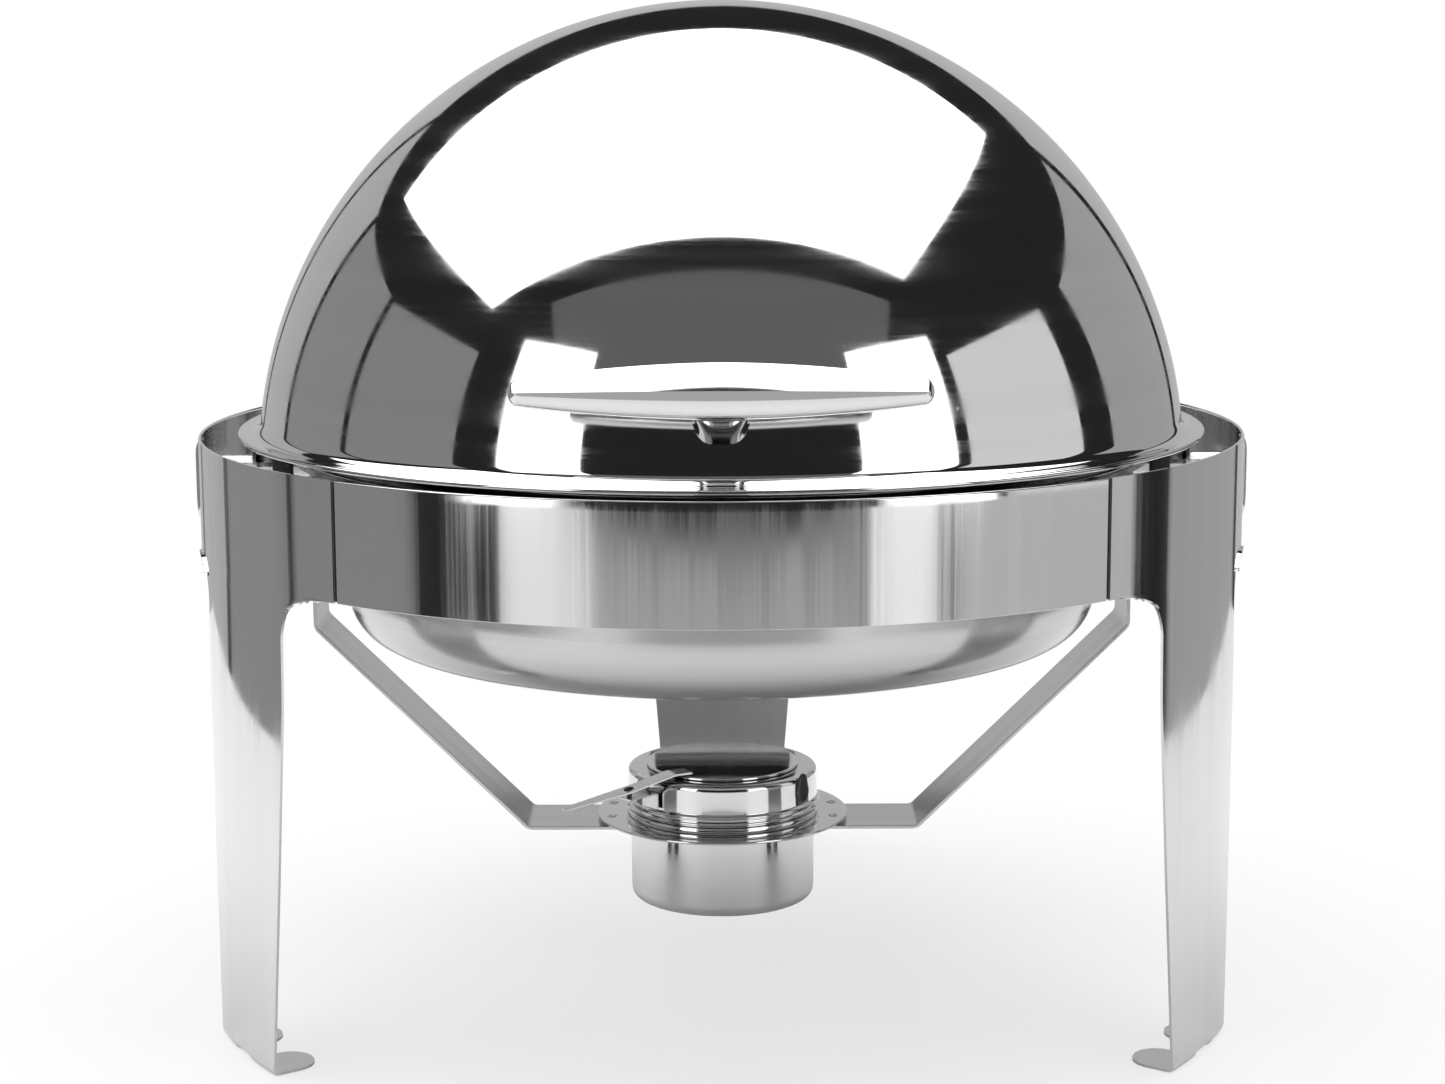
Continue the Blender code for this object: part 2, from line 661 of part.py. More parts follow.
def make_handle(collection, cutters):
    """The grip is a loft of swelling sections, with its round neck joined to it."""
    sections = 17
    steps = 16
    work = bmesh.new()
    rings = []
    for i in range(sections):
        t = -1 + 2 * i / (sections - 1)
        points = handle_section(HANDLE_HALF_L, HANDLE_HALF_H, HANDLE_HALF_D, t * 0.985, steps)
        rings.append([work.verts.new(p) for p in points])
    for first, second in zip(rings, rings[1:]):
        for i in range(steps):
            j = (i + 1) % steps
            work.faces.new((first[i], first[j], second[j], second[i]))
    work.faces.new(rings[0])
    work.faces.new(rings[-1])
    bmesh.ops.recalc_face_normals(work, faces=work.faces)
    mesh = bpy.data.meshes.new("lid_handle")
    work.to_mesh(mesh)
    work.free()
    mesh.transform(Matrix.Translation((0, HANDLE_Y, HANDLE_Z)))
    handle = add_object("lid_handle", mesh, collection, STEEL)
    centre, out = neck_axis()
    neck = cylinder("neck", 0.0110, centre + out * (DOME_R + GAP + 0.0004),
                    centre + out * 0.234, collection, steps=20)
    boolean(handle, neck, "UNION")
    for x in (-0.006, 0.006):
        shift = Vector((x, 0, 0))
        drill(handle, 0.0020 + GAP, centre + out * 0.205 + shift, centre + out * 0.2225 + shift,
              cutters, steps=10)
    finish_mesh(handle, angle=40.0)


def make_handle_screws(collection):
    """Two screws from inside the dome, with washers under their heads."""
    centre, out = neck_axis()
    inner = DOME_R - DOME_T
    for tag, x in (("left", -0.006), ("right", 0.006)):
        root = centre + Vector((x, 0, 0))
        seat = inner - 0.0015
        head = seat - 0.0010
        shank_profile = [(0.0, 0.2220), (0.0020, 0.2220), (0.0020, head), (0.0038, head),
                         (0.0034, head - 0.0020), (0.0, head - 0.0022)]
        screw = baked(turned("handle_screw_" + tag, shank_profile, collection, SATIN, steps=12))
        ring_profile = [(0.0048, seat), (0.0048, head + GAP), (0.0023, head + GAP),
                        (0.0023, seat)]
        washer = baked(turned("handle_washer_" + tag, ring_profile, collection, SATIN,
                              closed=True, steps=12))
        turn = Vector((0, 0, 1)).rotation_difference(out).to_matrix().to_4x4()
        for obj in (screw, washer):
            move_mesh(obj, Matrix.Translation(root) @ turn)
            finish_mesh(obj, SATIN)


def make_ear(name, side, collection, cutters):
    """A lid ear: a round-ended plate that hangs from the brim and turns on the pin."""
    half_w = 0.0120
    top = BRIM_TOP - DOME_T - GAP - 0.0003
    outline = arc(0.0, PIVOT_Z, half_w, 180, 360, 10) + [(half_w, top), (-half_w, top)]
    ear = flat_plate(name, outline, EAR_T, collection)
    stand = Matrix.Rotation(math.radians(90), 4, "Z") @ Matrix.Rotation(math.radians(90), 4, "X")
    move_mesh(ear, Matrix.Translation((side * (EAR_X + EAR_T / 2), 0, 0)) @ stand)
    drill(ear, PIN_R + GAP, (side * (EAR_X - 0.004), 0, PIVOT_Z),
          (side * (EAR_X + 0.006), 0, PIVOT_Z), cutters)
    return ear


# ---- assembly --------------------------------------------------------------------------
def build():
    clear_scene()
    parts = make_collection("roll_top_chafer")
    cutters = make_collection("cutters")
    for name, azimuth in LEG_AZIMUTHS.items():
        make_leg(name, azimuth, parts)
    for name, azimuth in (("front_band", 270.0), ("left_rear_band", 150.0),
                          ("right_rear_band", 30.0)):
        make_band(name, azimuth, parts, cutters)
    for leg, azimuth in LEG_AZIMUTHS.items():
        for tag, side in (("a", -1), ("b", 1)):
            make_splice("splice_" + leg + "_" + tag, azimuth + side * PANEL_HALF, parts)
    make_support_ring(parts, cutters)
    for name, azimuth in (("left", 210.0), ("front", 270.0), ("right", 330.0)):
        make_support_bracket("support_bracket_" + name, azimuth, parts)
    for name, azimuth in (("left", 210.0), ("right", 330.0)):
        make_lid_bumper("lid_bumper_" + name, azimuth, parts)
    for side, tag in ((-1, "left"), (1, "right")):
        make_pivots(side, parts)
        make_strap("burner_strap_" + tag, side, parts, cutters)
        make_ear("lid_ear_" + tag, side, parts, cutters)
    make_holder(parts, cutters)
    make_holder_rivets(parts)
    make_pans(parts)
    rim = make_fuel_cup(parts)
    make_burner_cover(rim, parts)
    make_cover_bracket(parts, cutters)
    make_keeper(parts)
    make_damper(parts, cutters)
    make_damper_rivet(parts)
    make_lid(parts, cutters)
    make_handle(parts, cutters)
    make_handle_screws(parts)


build()
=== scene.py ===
# %% [markdown]
# # A round roll top chafer in polished steel
# A chafer keeps food hot on a buffet: a ring on three legs carries two nested pans, a small
# burner hangs under them, and a domed lid rolls back on two side pivots. Nearly all of it is
# pressed steel sheet with a mirror polish, so two things decide how it looks: how smoothly each
# surface turns, and what the studio puts round it to be mirrored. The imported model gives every
# place and size. This script adds the fine surfaces, the finishes, the light and the camera.

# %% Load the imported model
import json
import math

import bpy
import numpy as np
from mathutils import Euler, Matrix, Vector


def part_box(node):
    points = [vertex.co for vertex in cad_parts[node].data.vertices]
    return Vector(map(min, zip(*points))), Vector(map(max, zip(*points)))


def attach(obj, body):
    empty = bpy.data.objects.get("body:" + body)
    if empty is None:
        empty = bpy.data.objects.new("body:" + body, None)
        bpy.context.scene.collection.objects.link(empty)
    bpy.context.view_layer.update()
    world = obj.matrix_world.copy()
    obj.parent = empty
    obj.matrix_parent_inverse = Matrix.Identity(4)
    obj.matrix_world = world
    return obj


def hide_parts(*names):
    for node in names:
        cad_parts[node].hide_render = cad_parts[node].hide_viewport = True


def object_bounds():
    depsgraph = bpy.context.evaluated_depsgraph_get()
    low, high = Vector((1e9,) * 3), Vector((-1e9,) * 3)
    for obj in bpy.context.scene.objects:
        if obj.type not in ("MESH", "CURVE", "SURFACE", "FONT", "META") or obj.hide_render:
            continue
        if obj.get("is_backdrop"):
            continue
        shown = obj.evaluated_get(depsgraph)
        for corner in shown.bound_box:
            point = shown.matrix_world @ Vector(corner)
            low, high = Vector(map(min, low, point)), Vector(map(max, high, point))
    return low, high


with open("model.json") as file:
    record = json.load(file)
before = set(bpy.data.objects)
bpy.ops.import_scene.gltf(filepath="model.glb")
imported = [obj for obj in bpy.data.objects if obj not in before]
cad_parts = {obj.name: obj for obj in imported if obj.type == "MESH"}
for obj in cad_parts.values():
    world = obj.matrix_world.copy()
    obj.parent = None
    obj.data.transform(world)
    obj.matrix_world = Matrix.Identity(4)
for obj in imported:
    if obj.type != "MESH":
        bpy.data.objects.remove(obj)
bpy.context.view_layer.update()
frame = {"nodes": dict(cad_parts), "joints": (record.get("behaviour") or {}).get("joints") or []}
scene = bpy.context.scene

# %% [markdown]
# ## Sizes that the pieces share
# Places are read from the model, so that a new surface lies exactly where its solid lies. Only
# small things that a solid doesn't say, such as the radius of a pressed corner, are set here.

# %% Sizes from the model, in metres
SHEET = 0.0012          # thickness of the stand's sheet
PAN_SHEET = 0.0009
pivot_z = frame["joints"][0]["pos_m"][2]
band_low, band_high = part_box("front_band")
ring_r = -band_low.y
ring_top = band_high.z
band_bottom = band_low.z
dome_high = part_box("lid_shell")[1]
dome_r = dome_high.z - pivot_z
brim_r = dome_high.y
brim_z = 0.2646         # top face of the brim
print("ring radius", round(ring_r, 4), "dome radius", round(dome_r, 4), "pivot", pivot_z)

# %% [markdown]
# ## From a grid of points to a mesh
# Sheet metal is easiest to describe as a surface: a grid whose rows and columns follow the
# piece. Every new piece here is worked out as one such grid with numpy and handed to Blender in
# one go. Points that fall together, as at a pole, are welded, and the faces are turned to look
# outwards by the sign of the volume that they enclose. An open grid gets its thickness from a
# Solidify modifier, and a Bevel modifier takes the sharpness off the cut edges.

# %% Grid helper
pieces = {}


def quads_of(rows, columns, wrap_rows, wrap_columns):
    """Corner numbers of every face in a grid: point (i, j) is i * columns + j."""
    i = np.arange(rows if wrap_rows else rows - 1)[:, None]
    j = np.arange(columns if wrap_columns else columns - 1)[None, :]
    i2, j2 = (i + 1) % rows, (j + 1) % columns
    corners = [i * columns + j, i * columns + j2, i2 * columns + j2, i2 * columns + j]
    return np.stack(np.broadcast_arrays(*corners), axis=-1).reshape(-1, 4)


def enclosed(points, quads):
    """Six times the signed volume under the faces: positive when they look outwards."""
    a, b, c, d = (points[quads[:, k]] for k in range(4))
    first = np.einsum("ij,ij->i", a, np.cross(b, c))
    return float((first + np.einsum("ij,ij->i", a, np.cross(c, d))).sum())


def surface(name, grids, wrap_rows=False, wrap_columns=False, sharp=35.0, flip=None):
    """One mesh from grids of points, each (rows, columns, 3). Points that round to the same
    ten-millionth of a metre become one, and a face with two equal corners a triangle."""
    all_points, all_quads, start = [], [], 0
    for grid in grids if isinstance(grids, list) else [grids]:
        quads = quads_of(*grid.shape[:2], wrap_rows, wrap_columns)
        flat = grid.reshape(-1, 3)
        turn = enclosed(flat - flat.mean(axis=0), quads) < 0 if flip is None else flip
        all_quads.append((quads[:, ::-1] if turn else quads) + start)
        all_points.append(flat)
        start += len(flat)
    points, quads = np.concatenate(all_points), np.concatenate(all_quads)
    places, same = np.unique(np.round(points, 7), axis=0, return_inverse=True)
    quads = same.reshape(-1)[quads]
    doubled = quads == np.roll(quads, -1, axis=1)
    whole = quads[doubled.sum(axis=1) == 0]
    pinched = doubled.sum(axis=1) == 1
    corners = quads[pinched][~doubled[pinched]].reshape(-1, 3)
    mesh = bpy.data.meshes.new(name)
    mesh.from_pydata(places.tolist(), [], whole.tolist() + corners.tolist())
    mesh.validate()
    mesh.shade_smooth()
    mesh.set_sharp_from_angle(angle=math.radians(sharp))
    obj = bpy.data.objects.new(name, mesh)
    scene.collection.objects.link(obj)
    pieces[name] = obj
    return obj


def place(obj, body, slot, *nodes):
    """Ride on a body and stand for CAD nodes; slot is not used."""
    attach(obj, body)
    if nodes:
        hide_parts(*nodes)
    print(f"{obj.name}: {len(obj.data.polygons)} faces for {', '.join(nodes) or 'detail'}")


def thicken(obj, thickness, edge=0.00025):
    """Sheet thickness behind the surface, and softly broken edges."""
    solid = obj.modifiers.new("Sheet", "SOLIDIFY")
    solid.thickness = thickness
    solid.offset = -1.0
    bevel = obj.modifiers.new("Edge", "BEVEL")
    bevel.width = edge
    bevel.segments = 2
    bevel.limit_method = "ANGLE"
    bevel.angle_limit = math.radians(50)
    bevel.harden_normals = True


# %% [markdown]
# ## Turned pieces
# The dome, pans, cup and burner cover are spun or pressed round. Each is a profile of radius
# and height, carried round the upright axis: a point goes to (radius * cos a, radius * sin a,
# height). The profile is laid out from arcs and straight lines, so that each bend has a real
# radius to catch the light, and sheet pieces go up one skin and back down the other.

# %% Profile helpers
def arc(cx, cz, radius, start, end, steps):
    """Points of an arc: centre + radius * (cos, sin), the angle going evenly from start to end."""
    a = np.radians(np.linspace(start, end, steps + 1))
    return np.stack([cx + radius * np.cos(a), cz + radius * np.sin(a)], axis=1)


def rounded(corners, radii, steps=6):
    """A line through corners, each corner cut by a quadratic curve of the given reach."""
    corners = np.asarray(corners, float)
    line = [corners[:1]]
    t = np.linspace(0, 1, steps + 1)[:, None]
    for before, here, after, reach in zip(corners, corners[1:], corners[2:], radii):
        a = here + (before - here) / np.linalg.norm(before - here) * reach
        b = here + (after - here) / np.linalg.norm(after - here) * reach
        line.append((1 - t) ** 2 * a + 2 * t * (1 - t) * here + t ** 2 * b if reach else here[None])
    line.append(corners[-1:])
    return np.concatenate(line)


def turned(name, profile, steps=160, sharp=35.0, at=(0.0, 0.0, 0.0)):
    """Revolve a closed profile about the upright line through at; rows follow the profile."""
    a = np.linspace(0, 2 * np.pi, steps, endpoint=False)
    r, z = profile[:, :1], profile[:, 1:]
    grid = np.stack([at[0] + r * np.cos(a), at[1] + r * np.sin(a), at[2] + z + 0 * a], axis=2)
    on_axis = np.allclose(profile[[0, -1], 0], 0)
    return surface(name, grid, wrap_rows=not on_axis, wrap_columns=True, sharp=sharp)

# %% [markdown]
# ## The lid
# The lid is a half sphere spun from one disc, with a small hollow fillet into a flat brim whose
# edge is turned under. A sphere primitive would leave the fillet out, and that bright hollow
# line is what makes the lid look pressed. The skin goes out over the top, round the hem and
# back inside, one millimetre lower.

# %% Dome and brim
FILLET = 0.0060
HEM = 0.0011            # radius of the turned edge
DOME_SHEET = 0.0010
TUCK = 0.0020           # how far the turned edge reaches back


def lid_skin(radius, fillet, level, hem_r):
    """Arc of the dome, hollow arc of the fillet, then the brim to hem_r."""
    rise = brim_z + FILLET - pivot_z
    centre_r = math.sqrt((dome_r + FILLET) ** 2 - rise ** 2)
    tangent = math.degrees(math.atan2(rise, centre_r))
    crown = arc(0, pivot_z, radius, 90, tangent, 96)
    crown[0, 0] = 0.0
    hollow = arc(centre_r, brim_z + FILLET, fillet, 180 + tangent, 270, 14)
    return np.concatenate([crown, hollow[1:], [[hem_r, level]]])


outer_skin = lid_skin(dome_r, FILLET, brim_z, brim_r - HEM)
hem = arc(brim_r - HEM, brim_z - HEM, HEM, 90, -90, 10)[1:]
inner_skin = lid_skin(dome_r - DOME_SHEET, FILLET + DOME_SHEET, brim_z - DOME_SHEET,
                      brim_r - TUCK - 0.0004)
tuck = np.array([[brim_r - TUCK, brim_z - 2 * HEM]])
dome = turned("lid_dome", np.concatenate([outer_skin, hem, tuck, inner_skin[::-1]]), 256)
place(dome, "lid", "mirror_steel", "lid_shell")

# %% [markdown]
# ## The handle
# The grip is boat-shaped: long and level, swelling in the middle, with blunt round ends. Its
# top slopes back from a crisp ridge and its front face is nearly upright, so it mirrors the
# ceiling above the ridge and the room below it. The section is four curved strokes between
# ridge, crest, back and keel, and it shrinks along the length as 1 - 0.58 * |t| ** 1.8. A short
# pedestal, wide at the grip and narrow at its foot, carries it off the dome.

# %% Grip
grip_low, grip_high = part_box("lid_handle")
GRIP_HALF_L = (grip_high.x - grip_low.x) / 2
GRIP_HALF_H = 0.0112
GRIP_HALF_D = 0.0078
GRIP_Y = -0.2296
GRIP_Z = 0.3034
END_START = 0.955       # where the blunt end begins to round off


def stroke(a, b, c, steps=9):
    """Quadratic curve from a to c, pulled towards b."""
    t = np.linspace(0, 1, steps, endpoint=False)[:, None]
    a, b, c = (np.asarray(p, float) for p in (a, b, c))
    return (1 - t) ** 2 * a + 2 * t * (1 - t) * b + t ** 2 * c


grip_section = np.concatenate([
    stroke((-0.96, 0.12), (-0.20, 0.90), (0.30, 1.0)),
    stroke((0.30, 1.0), (1.0, 0.98), (1.0, 0.0)),
    stroke((1.0, 0.0), (1.0, -0.95), (0.05, -1.0)),
    stroke((0.05, -1.0), (-0.86, -0.98), (-0.96, 0.12)),
])


def blunt(t):
    """Beyond END_START a quarter ellipse, sqrt(1 - past ** 2), which closes the ends."""
    past = np.clip((np.abs(t) - END_START) / (1 - END_START), 0, 1)
    return np.sqrt(np.clip(1 - past ** 2, 0, 1))

ends = 1 - (1 - END_START) * (1 - np.sin(np.linspace(0, np.pi / 2, 9)))
t = np.concatenate([-ends[::-1], np.linspace(-END_START, END_START, 61)[1:-1], ends])[:, None]
swell = (1 - 0.58 * np.abs(t) ** 1.8) * blunt(t)
deep, tall = grip_section.T
grip_grid = np.stack([
    GRIP_HALF_L * t + 0 * deep,
    GRIP_Y + GRIP_HALF_D * (0.35 + 0.65 * swell) * blunt(t) * deep,
    GRIP_Z + GRIP_HALF_H * swell * tall,
], axis=2)
grip = surface("handle_grip", grip_grid, wrap_columns=True, sharp=17.0)
place(grip, "lid", "mirror_steel", "lid_handle")

# %% Pedestal under the grip
NECK_TILT = math.radians(15.0)
out_dir = np.array([0.0, -math.cos(NECK_TILT), math.sin(NECK_TILT)])
up_dir = np.array([0.0, math.sin(NECK_TILT), math.cos(NECK_TILT)])


def neck_grid(rows=20, columns=64):
    """Sections along the dome's normal: width * cos a across, height * sin a up. The lower half
    is a rounded keel that is long at the foot, and the foot flares as (1 - k) ** 3."""
    k = np.linspace(0, 1, rows)[:, None]
    a = np.linspace(0, 2 * np.pi, columns, endpoint=False)[None, :]
    low = np.clip(-np.sin(a), 0, 1)
    flare = 1 + 0.12 * (1 - k) ** 3
    squarer = np.where(np.sin(a) > 0, 1.0, 0.55)
    across = (0.0112 + 0.0032 * k ** 2) * flare * np.sign(np.cos(a)) * np.abs(np.cos(a)) ** squarer
    across *= 1 - 0.16 * low
    drop = np.where(np.sin(a) > 0, 0.0070, 0.0172 - 0.0060 * k ** 2) * flare
    reach = dome_r - 0.0012 + (0.2310 - dome_r) * k
    height = drop * np.sign(np.sin(a)) * np.abs(np.sin(a)) ** squarer
    sink = (across ** 2 + height ** 2) / (2 * dome_r) * (1 - k)
    return (np.array([0.0, 0.0, pivot_z]) + (reach - sink)[..., None] * out_dir
            + height[..., None] * up_dir + across[..., None] * np.array([1.0, 0.0, 0.0]))


grid = neck_grid()
caps = [grid[:1].mean(axis=1, keepdims=True).repeat(grid.shape[1], 1), grid,
        grid[-1:].mean(axis=1, keepdims=True).repeat(grid.shape[1], 1)]
neck = surface("handle_pedestal", np.concatenate(caps), wrap_columns=True)
place(neck, "lid", "mirror_steel")

# %% [markdown]
# ## The ring and the legs
# The stand is six lengths of sheet: three bands and three legs whose tops are part of the ring.
# A groove is left between two lengths, with a splice strip behind it. A flat pattern does this
# best: s runs round the ring and z up, and one function rolls the pattern to the ring's radius.
# Below the ring a leg leans out a little, which is why its mirror image kinks at the ring's
# lower edge. The cut edges are rounded by the Bevel modifier.

# %% Rolling the flat pattern
PANEL_HALF = math.radians(19.5)
SEAM_GAP = 0.0010       # half the groove between two lengths
PANEL_EDGE = 0.0004     # rounding of a panel's cut edge
LEAN_H = 0.0012         # the top of a band that leans in
foot_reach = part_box("rear_leg")[1].y        # outer radius of the legs at the floor
SPLAY_TOP = 0.2105


def on_ring(s, z, azimuth):
    """Angle = azimuth + s / ring radius; the radius grows evenly below SPLAY_TOP."""
    radial = ring_r + (foot_reach - ring_r) * np.clip(1 - z / SPLAY_TOP, 0, None)
    a = azimuth + s / ring_r + 0 * z
    return np.stack([radial * np.cos(a), radial * np.sin(a), z + 0 * a], axis=-1)


# %% Three bands
def band_grid(azimuth):
    """A rolled strip; its last millimetre leans in a little, which draws a thin bright line."""
    end = ring_r * (math.radians(60) - PANEL_HALF) - SEAM_GAP
    s = np.linspace(-end, end, 121)[None, :]
    lean = ring_top - LEAN_H
    z = np.concatenate([np.linspace(band_bottom, lean, 16),
                        np.linspace(lean, ring_top, 5)[1:]])[:, None]
    grid = on_ring(s, z, azimuth)
    inward = 0.0005 * np.clip((z - lean) / LEAN_H, 0, 1) ** 2
    grid[..., :2] *= 1 - (inward / ring_r)[..., None]
    return grid


for node, degrees in (("front_band", 270), ("left_rear_band", 150), ("right_rear_band", 30)):
    band = surface(node + "_sheet", band_grid(math.radians(degrees)), flip=False)
    thicken(band, SHEET, PANEL_EDGE)
    place(band, "stand", "mirror_steel", node)

# %% [markdown]
# ### A leg's outline
# A leg is narrow at the floor, widens slowly, runs round an arch and becomes a piece of the
# ring. The edge is laid out once as a line of (half width, height). Row k of the grid joins the
# left edge to the right edge, and its middle is lifted so that the rows never cross, even where
# the edge runs level under the ring. The two foot tongues bend inwards from the lower edge.

# %% Three legs with their foot tongues
LEG_HALF_FLOOR = 0.0315
LEG_HALF_MID = 0.0385
LEG_HALF_TOP = 0.0438
ARCH_R = 0.0210
TOE_BEND = 0.0026       # radius of the bend from leg to foot tongue
TONGUE_HALF = 0.01125
TONGUE_L = 0.0240


def leg_edge():
    """Half width and height: two straight lines, the arch, the level edge, the panel's end."""
    end = ring_r * PANEL_HALF - SEAM_GAP
    low = np.array([[LEG_HALF_FLOOR, TOE_BEND], [LEG_HALF_MID, 0.090], [LEG_HALF_TOP, 0.165]])
    heights = np.linspace(TOE_BEND, band_bottom - ARCH_R, 45)[:-1]
    side = np.stack([np.interp(heights, low[:, 1], low[:, 0]), heights], axis=1)
    arch = arc(LEG_HALF_TOP + ARCH_R, band_bottom - ARCH_R, ARCH_R, 180, 90, 24)
    out = np.linspace(arch[-1, 0], end, 14)[1:]
    level = np.stack([out, np.full(len(out), band_bottom)], axis=1)
    up = np.linspace(band_bottom, ring_top, 20)[1:]
    rise = np.stack([np.full(len(up), end), up], axis=1)
    return np.concatenate([side, arch, level, rise])


def leg_grid(azimuth):
    """Row k spans the edge's half width; its middle is lifted by (1 - |u| ** 3)."""
    edge = leg_edge()
    run = np.concatenate([[0], np.cumsum(np.linalg.norm(np.diff(edge, axis=0), axis=1))])
    middle = TOE_BEND + (ring_top - TOE_BEND) * (run / run[-1])
    u = np.linspace(-1, 1, 97)[None, :]
    half, level = edge[:, :1], edge[:, 1:]
    return on_ring(half * u, level + (middle[:, None] - level) * (1 - np.abs(u) ** 3), azimuth)


def tongue_grid(azimuth, offset):
    """A quarter bend inwards from the leg's foot, then flat to a round tip, radius = half width."""
    phi = np.linspace(0, np.pi / 2, 8)
    flat = np.linspace(0, TONGUE_L - TOE_BEND, 26)[1:]
    inward = np.concatenate([TOE_BEND * (1 - np.cos(phi)), TOE_BEND + flat])[:, None]
    height = np.concatenate([TOE_BEND * (1 - np.sin(phi)), 0 * flat])[:, None]
    past = np.clip((inward - (TONGUE_L - TONGUE_HALF)) / TONGUE_HALF, 0, 1)
    half = TONGUE_HALF * np.sqrt(np.clip(1 - past ** 2, 0, 1))
    w = half * np.linspace(-1, 1, 17)[None, :]
    a = azimuth + offset / foot_reach
    radial = foot_reach - inward - w ** 2 / (2 * foot_reach)
    return np.stack([radial * np.cos(a) - w * np.sin(a), radial * np.sin(a) + w * np.cos(a),
                     height + 0 * w], axis=-1)[::-1]


for node, degrees in (("rear_leg", 90), ("front_left_leg", 210), ("front_right_leg", 330)):
    azimuth = math.radians(degrees)
    tongues = [tongue_grid(azimuth, side * (LEG_HALF_FLOOR - TONGUE_HALF - 0.0002))
               for side in (-1, 1)]
    leg = surface(node + "_sheet", [leg_grid(azimuth)] + tongues, flip=False)
    thicken(leg, SHEET, PANEL_EDGE)
    place(leg, "stand", "mirror_steel", node)

# %% [markdown]
# ### The splice behind each groove
# A strip welded behind two panels joins them. Only a line of it shows, down in the groove,
# where polishing can't reach, so it is rough, and its dark colour is painted shade in the
# groove. A strip of the ring's arc is enough.

# %% The splice strips
def splice_grid(azimuth):
    """An arc just behind the panels: radius = ring radius - sheet - 0.3 mm."""
    radius, half = ring_r - SHEET - 0.0003, 0.0045
    a = azimuth + np.linspace(-half, half, 9)[None, :] / radius
    z = np.linspace(band_bottom + 0.0003, ring_top - 0.0006, 5)[:, None]
    return np.stack([radius * np.cos(a) + 0 * z, radius * np.sin(a) + 0 * z, z + 0 * a], axis=-1)


for node in [n for n in frame["nodes"] if n.startswith("splice_")]:
    low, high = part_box(node)
    middle = (low + high) / 2
    splice = surface(node + "_strip", splice_grid(math.atan2(middle.y, middle.x)), flip=False)
    thicken(splice, 0.0008, 0.0001)
    place(splice, "stand", "satin_steel", node)

# %% [markdown]
# ## Hinge covers
# A small pressed cover hides the outer end of each pivot pin. It is a flat-backed pillow with a
# straight top and a round foot. Half the outline is a line with rounded corners, the other half
# mirrors it, and the face falls from the middle to the rim as sqrt(1 - q ** 8), where q is the
# share of the way out. A bevelled box would have the same outline, but a flat face.

# %% Hinge covers
def cover_grid(low, high, side):
    """Rings from the middle to the outline, q = sin: first the crowned face, then the back."""
    half_w, top, bottom = (high.y - low.y) / 2, high.z, low.z
    corner = rounded([(0, top), (half_w, top), (half_w, bottom), (0, bottom)],
                     (0.0050, half_w * 0.95), 14)
    outline = np.concatenate([corner, corner[-2:0:-1] * np.array([-1, 1])])
    centre = np.array([0.0, (top + bottom) / 2])
    q = np.sin(np.linspace(0, np.pi / 2, 14))[:, None, None]
    flat = centre + (outline - centre)[None] * q
    thick = (high.x - low.x) * np.sqrt(np.clip(1 - q[..., 0] ** 8, 0, 1)) + 0 * flat[..., 0]
    back = centre + (outline - centre)[None] * np.array([1.0, 0.0])[:, None, None]
    inner = low.x if side > 0 else high.x
    face = np.stack([inner + side * thick, flat[..., 0], flat[..., 1]], axis=-1)
    rear = np.stack([inner + 0 * back[..., 0], back[..., 0], back[..., 1]], axis=-1)
    return np.concatenate([face, rear])


for side, tag in ((-1, "left"), (1, "right")):
    cover = surface("pivot_cover_" + tag, cover_grid(*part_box("hinge_plate_" + tag), side),
                    wrap_columns=True, sharp=60)
    place(cover, "stand", "mirror_steel", "hinge_plate_" + tag)

# %% [markdown]
# ## Straps, brackets and other bent strips
# The burner hangs on two straps: flat bar bent twice. A bent strip is a centre line in one
# plane with rounded corners, swept sideways by its half width. Blender could bend a box with a
# modifier, but a swept line keeps the thickness true through each bend.

# %% The two burner straps
STRAP_SHEET = 0.0015
STRAP_HALF = 0.0200
STRAP_BEND = 0.0018     # reach of each bend from its corner
LONG_RUN = 0.02         # a longer run gets cross rows, to keep the faces even
strap_low, strap_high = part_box("burner_strap_right")
STRAP_CORNERS = [(strap_high.x, strap_high.z), (strap_high.x, 0.1703), (0.0911, strap_low.z),
                 (strap_low.x, strap_low.z)]


def strap_grid(side):
    """The strap's outer face: down beside the ring, in along the slope, level under the burner."""
    line = rounded(STRAP_CORNERS, (STRAP_BEND, STRAP_BEND), 6)
    rows = [np.linspace(a, b, 12 if np.linalg.norm(b - a) > LONG_RUN else 1, endpoint=False)
            for a, b in zip(line, line[1:])]
    x, z = np.concatenate(rows + [line[-1:]]).T[:, :, None]
    w = np.linspace(-STRAP_HALF, STRAP_HALF, 9)[None, :]
    return np.stack([side * x + 0 * w, w + 0 * x, z + 0 * w], axis=-1)

for side, tag in ((-1, "left"), (1, "right")):
    strap = surface("strap_" + tag, strap_grid(side), flip=side < 0)
    thicken(strap, STRAP_SHEET, 0.0003)
    place(strap, "stand", "satin_steel", "burner_strap_" + tag)

# %% [markdown]
# ## The pans and the ring they rest on
# Both pans are deep-drawn: round in the lower corner, nearly upright in the wall, with a level
# rim. The water pan's wall has the satin finish of a part that is meant to be out of sight.

# %% Pans and support ring
def pan_profile(radius, bottom, top, corner, rim_r, lip, sheet):
    """Up the inner skin from the axis, over the rim, and back down the outer skin."""
    outer = rounded([(0.001, bottom), (radius, bottom), (radius, top), (rim_r, top),
                     (rim_r, top - lip)], (corner, 0.0018, 0.0012), 12)
    inner = rounded([(0.001, bottom + sheet), (radius - sheet, bottom + sheet),
                     (radius - sheet, top + sheet), (rim_r + sheet * 0.6, top + sheet),
                     (rim_r + sheet * 0.6, top - lip)], (corner - sheet, 0.0022, 0.0016), 12)
    return np.concatenate([[[0, bottom + sheet]], inner, outer[::-1], [[0, bottom]]])


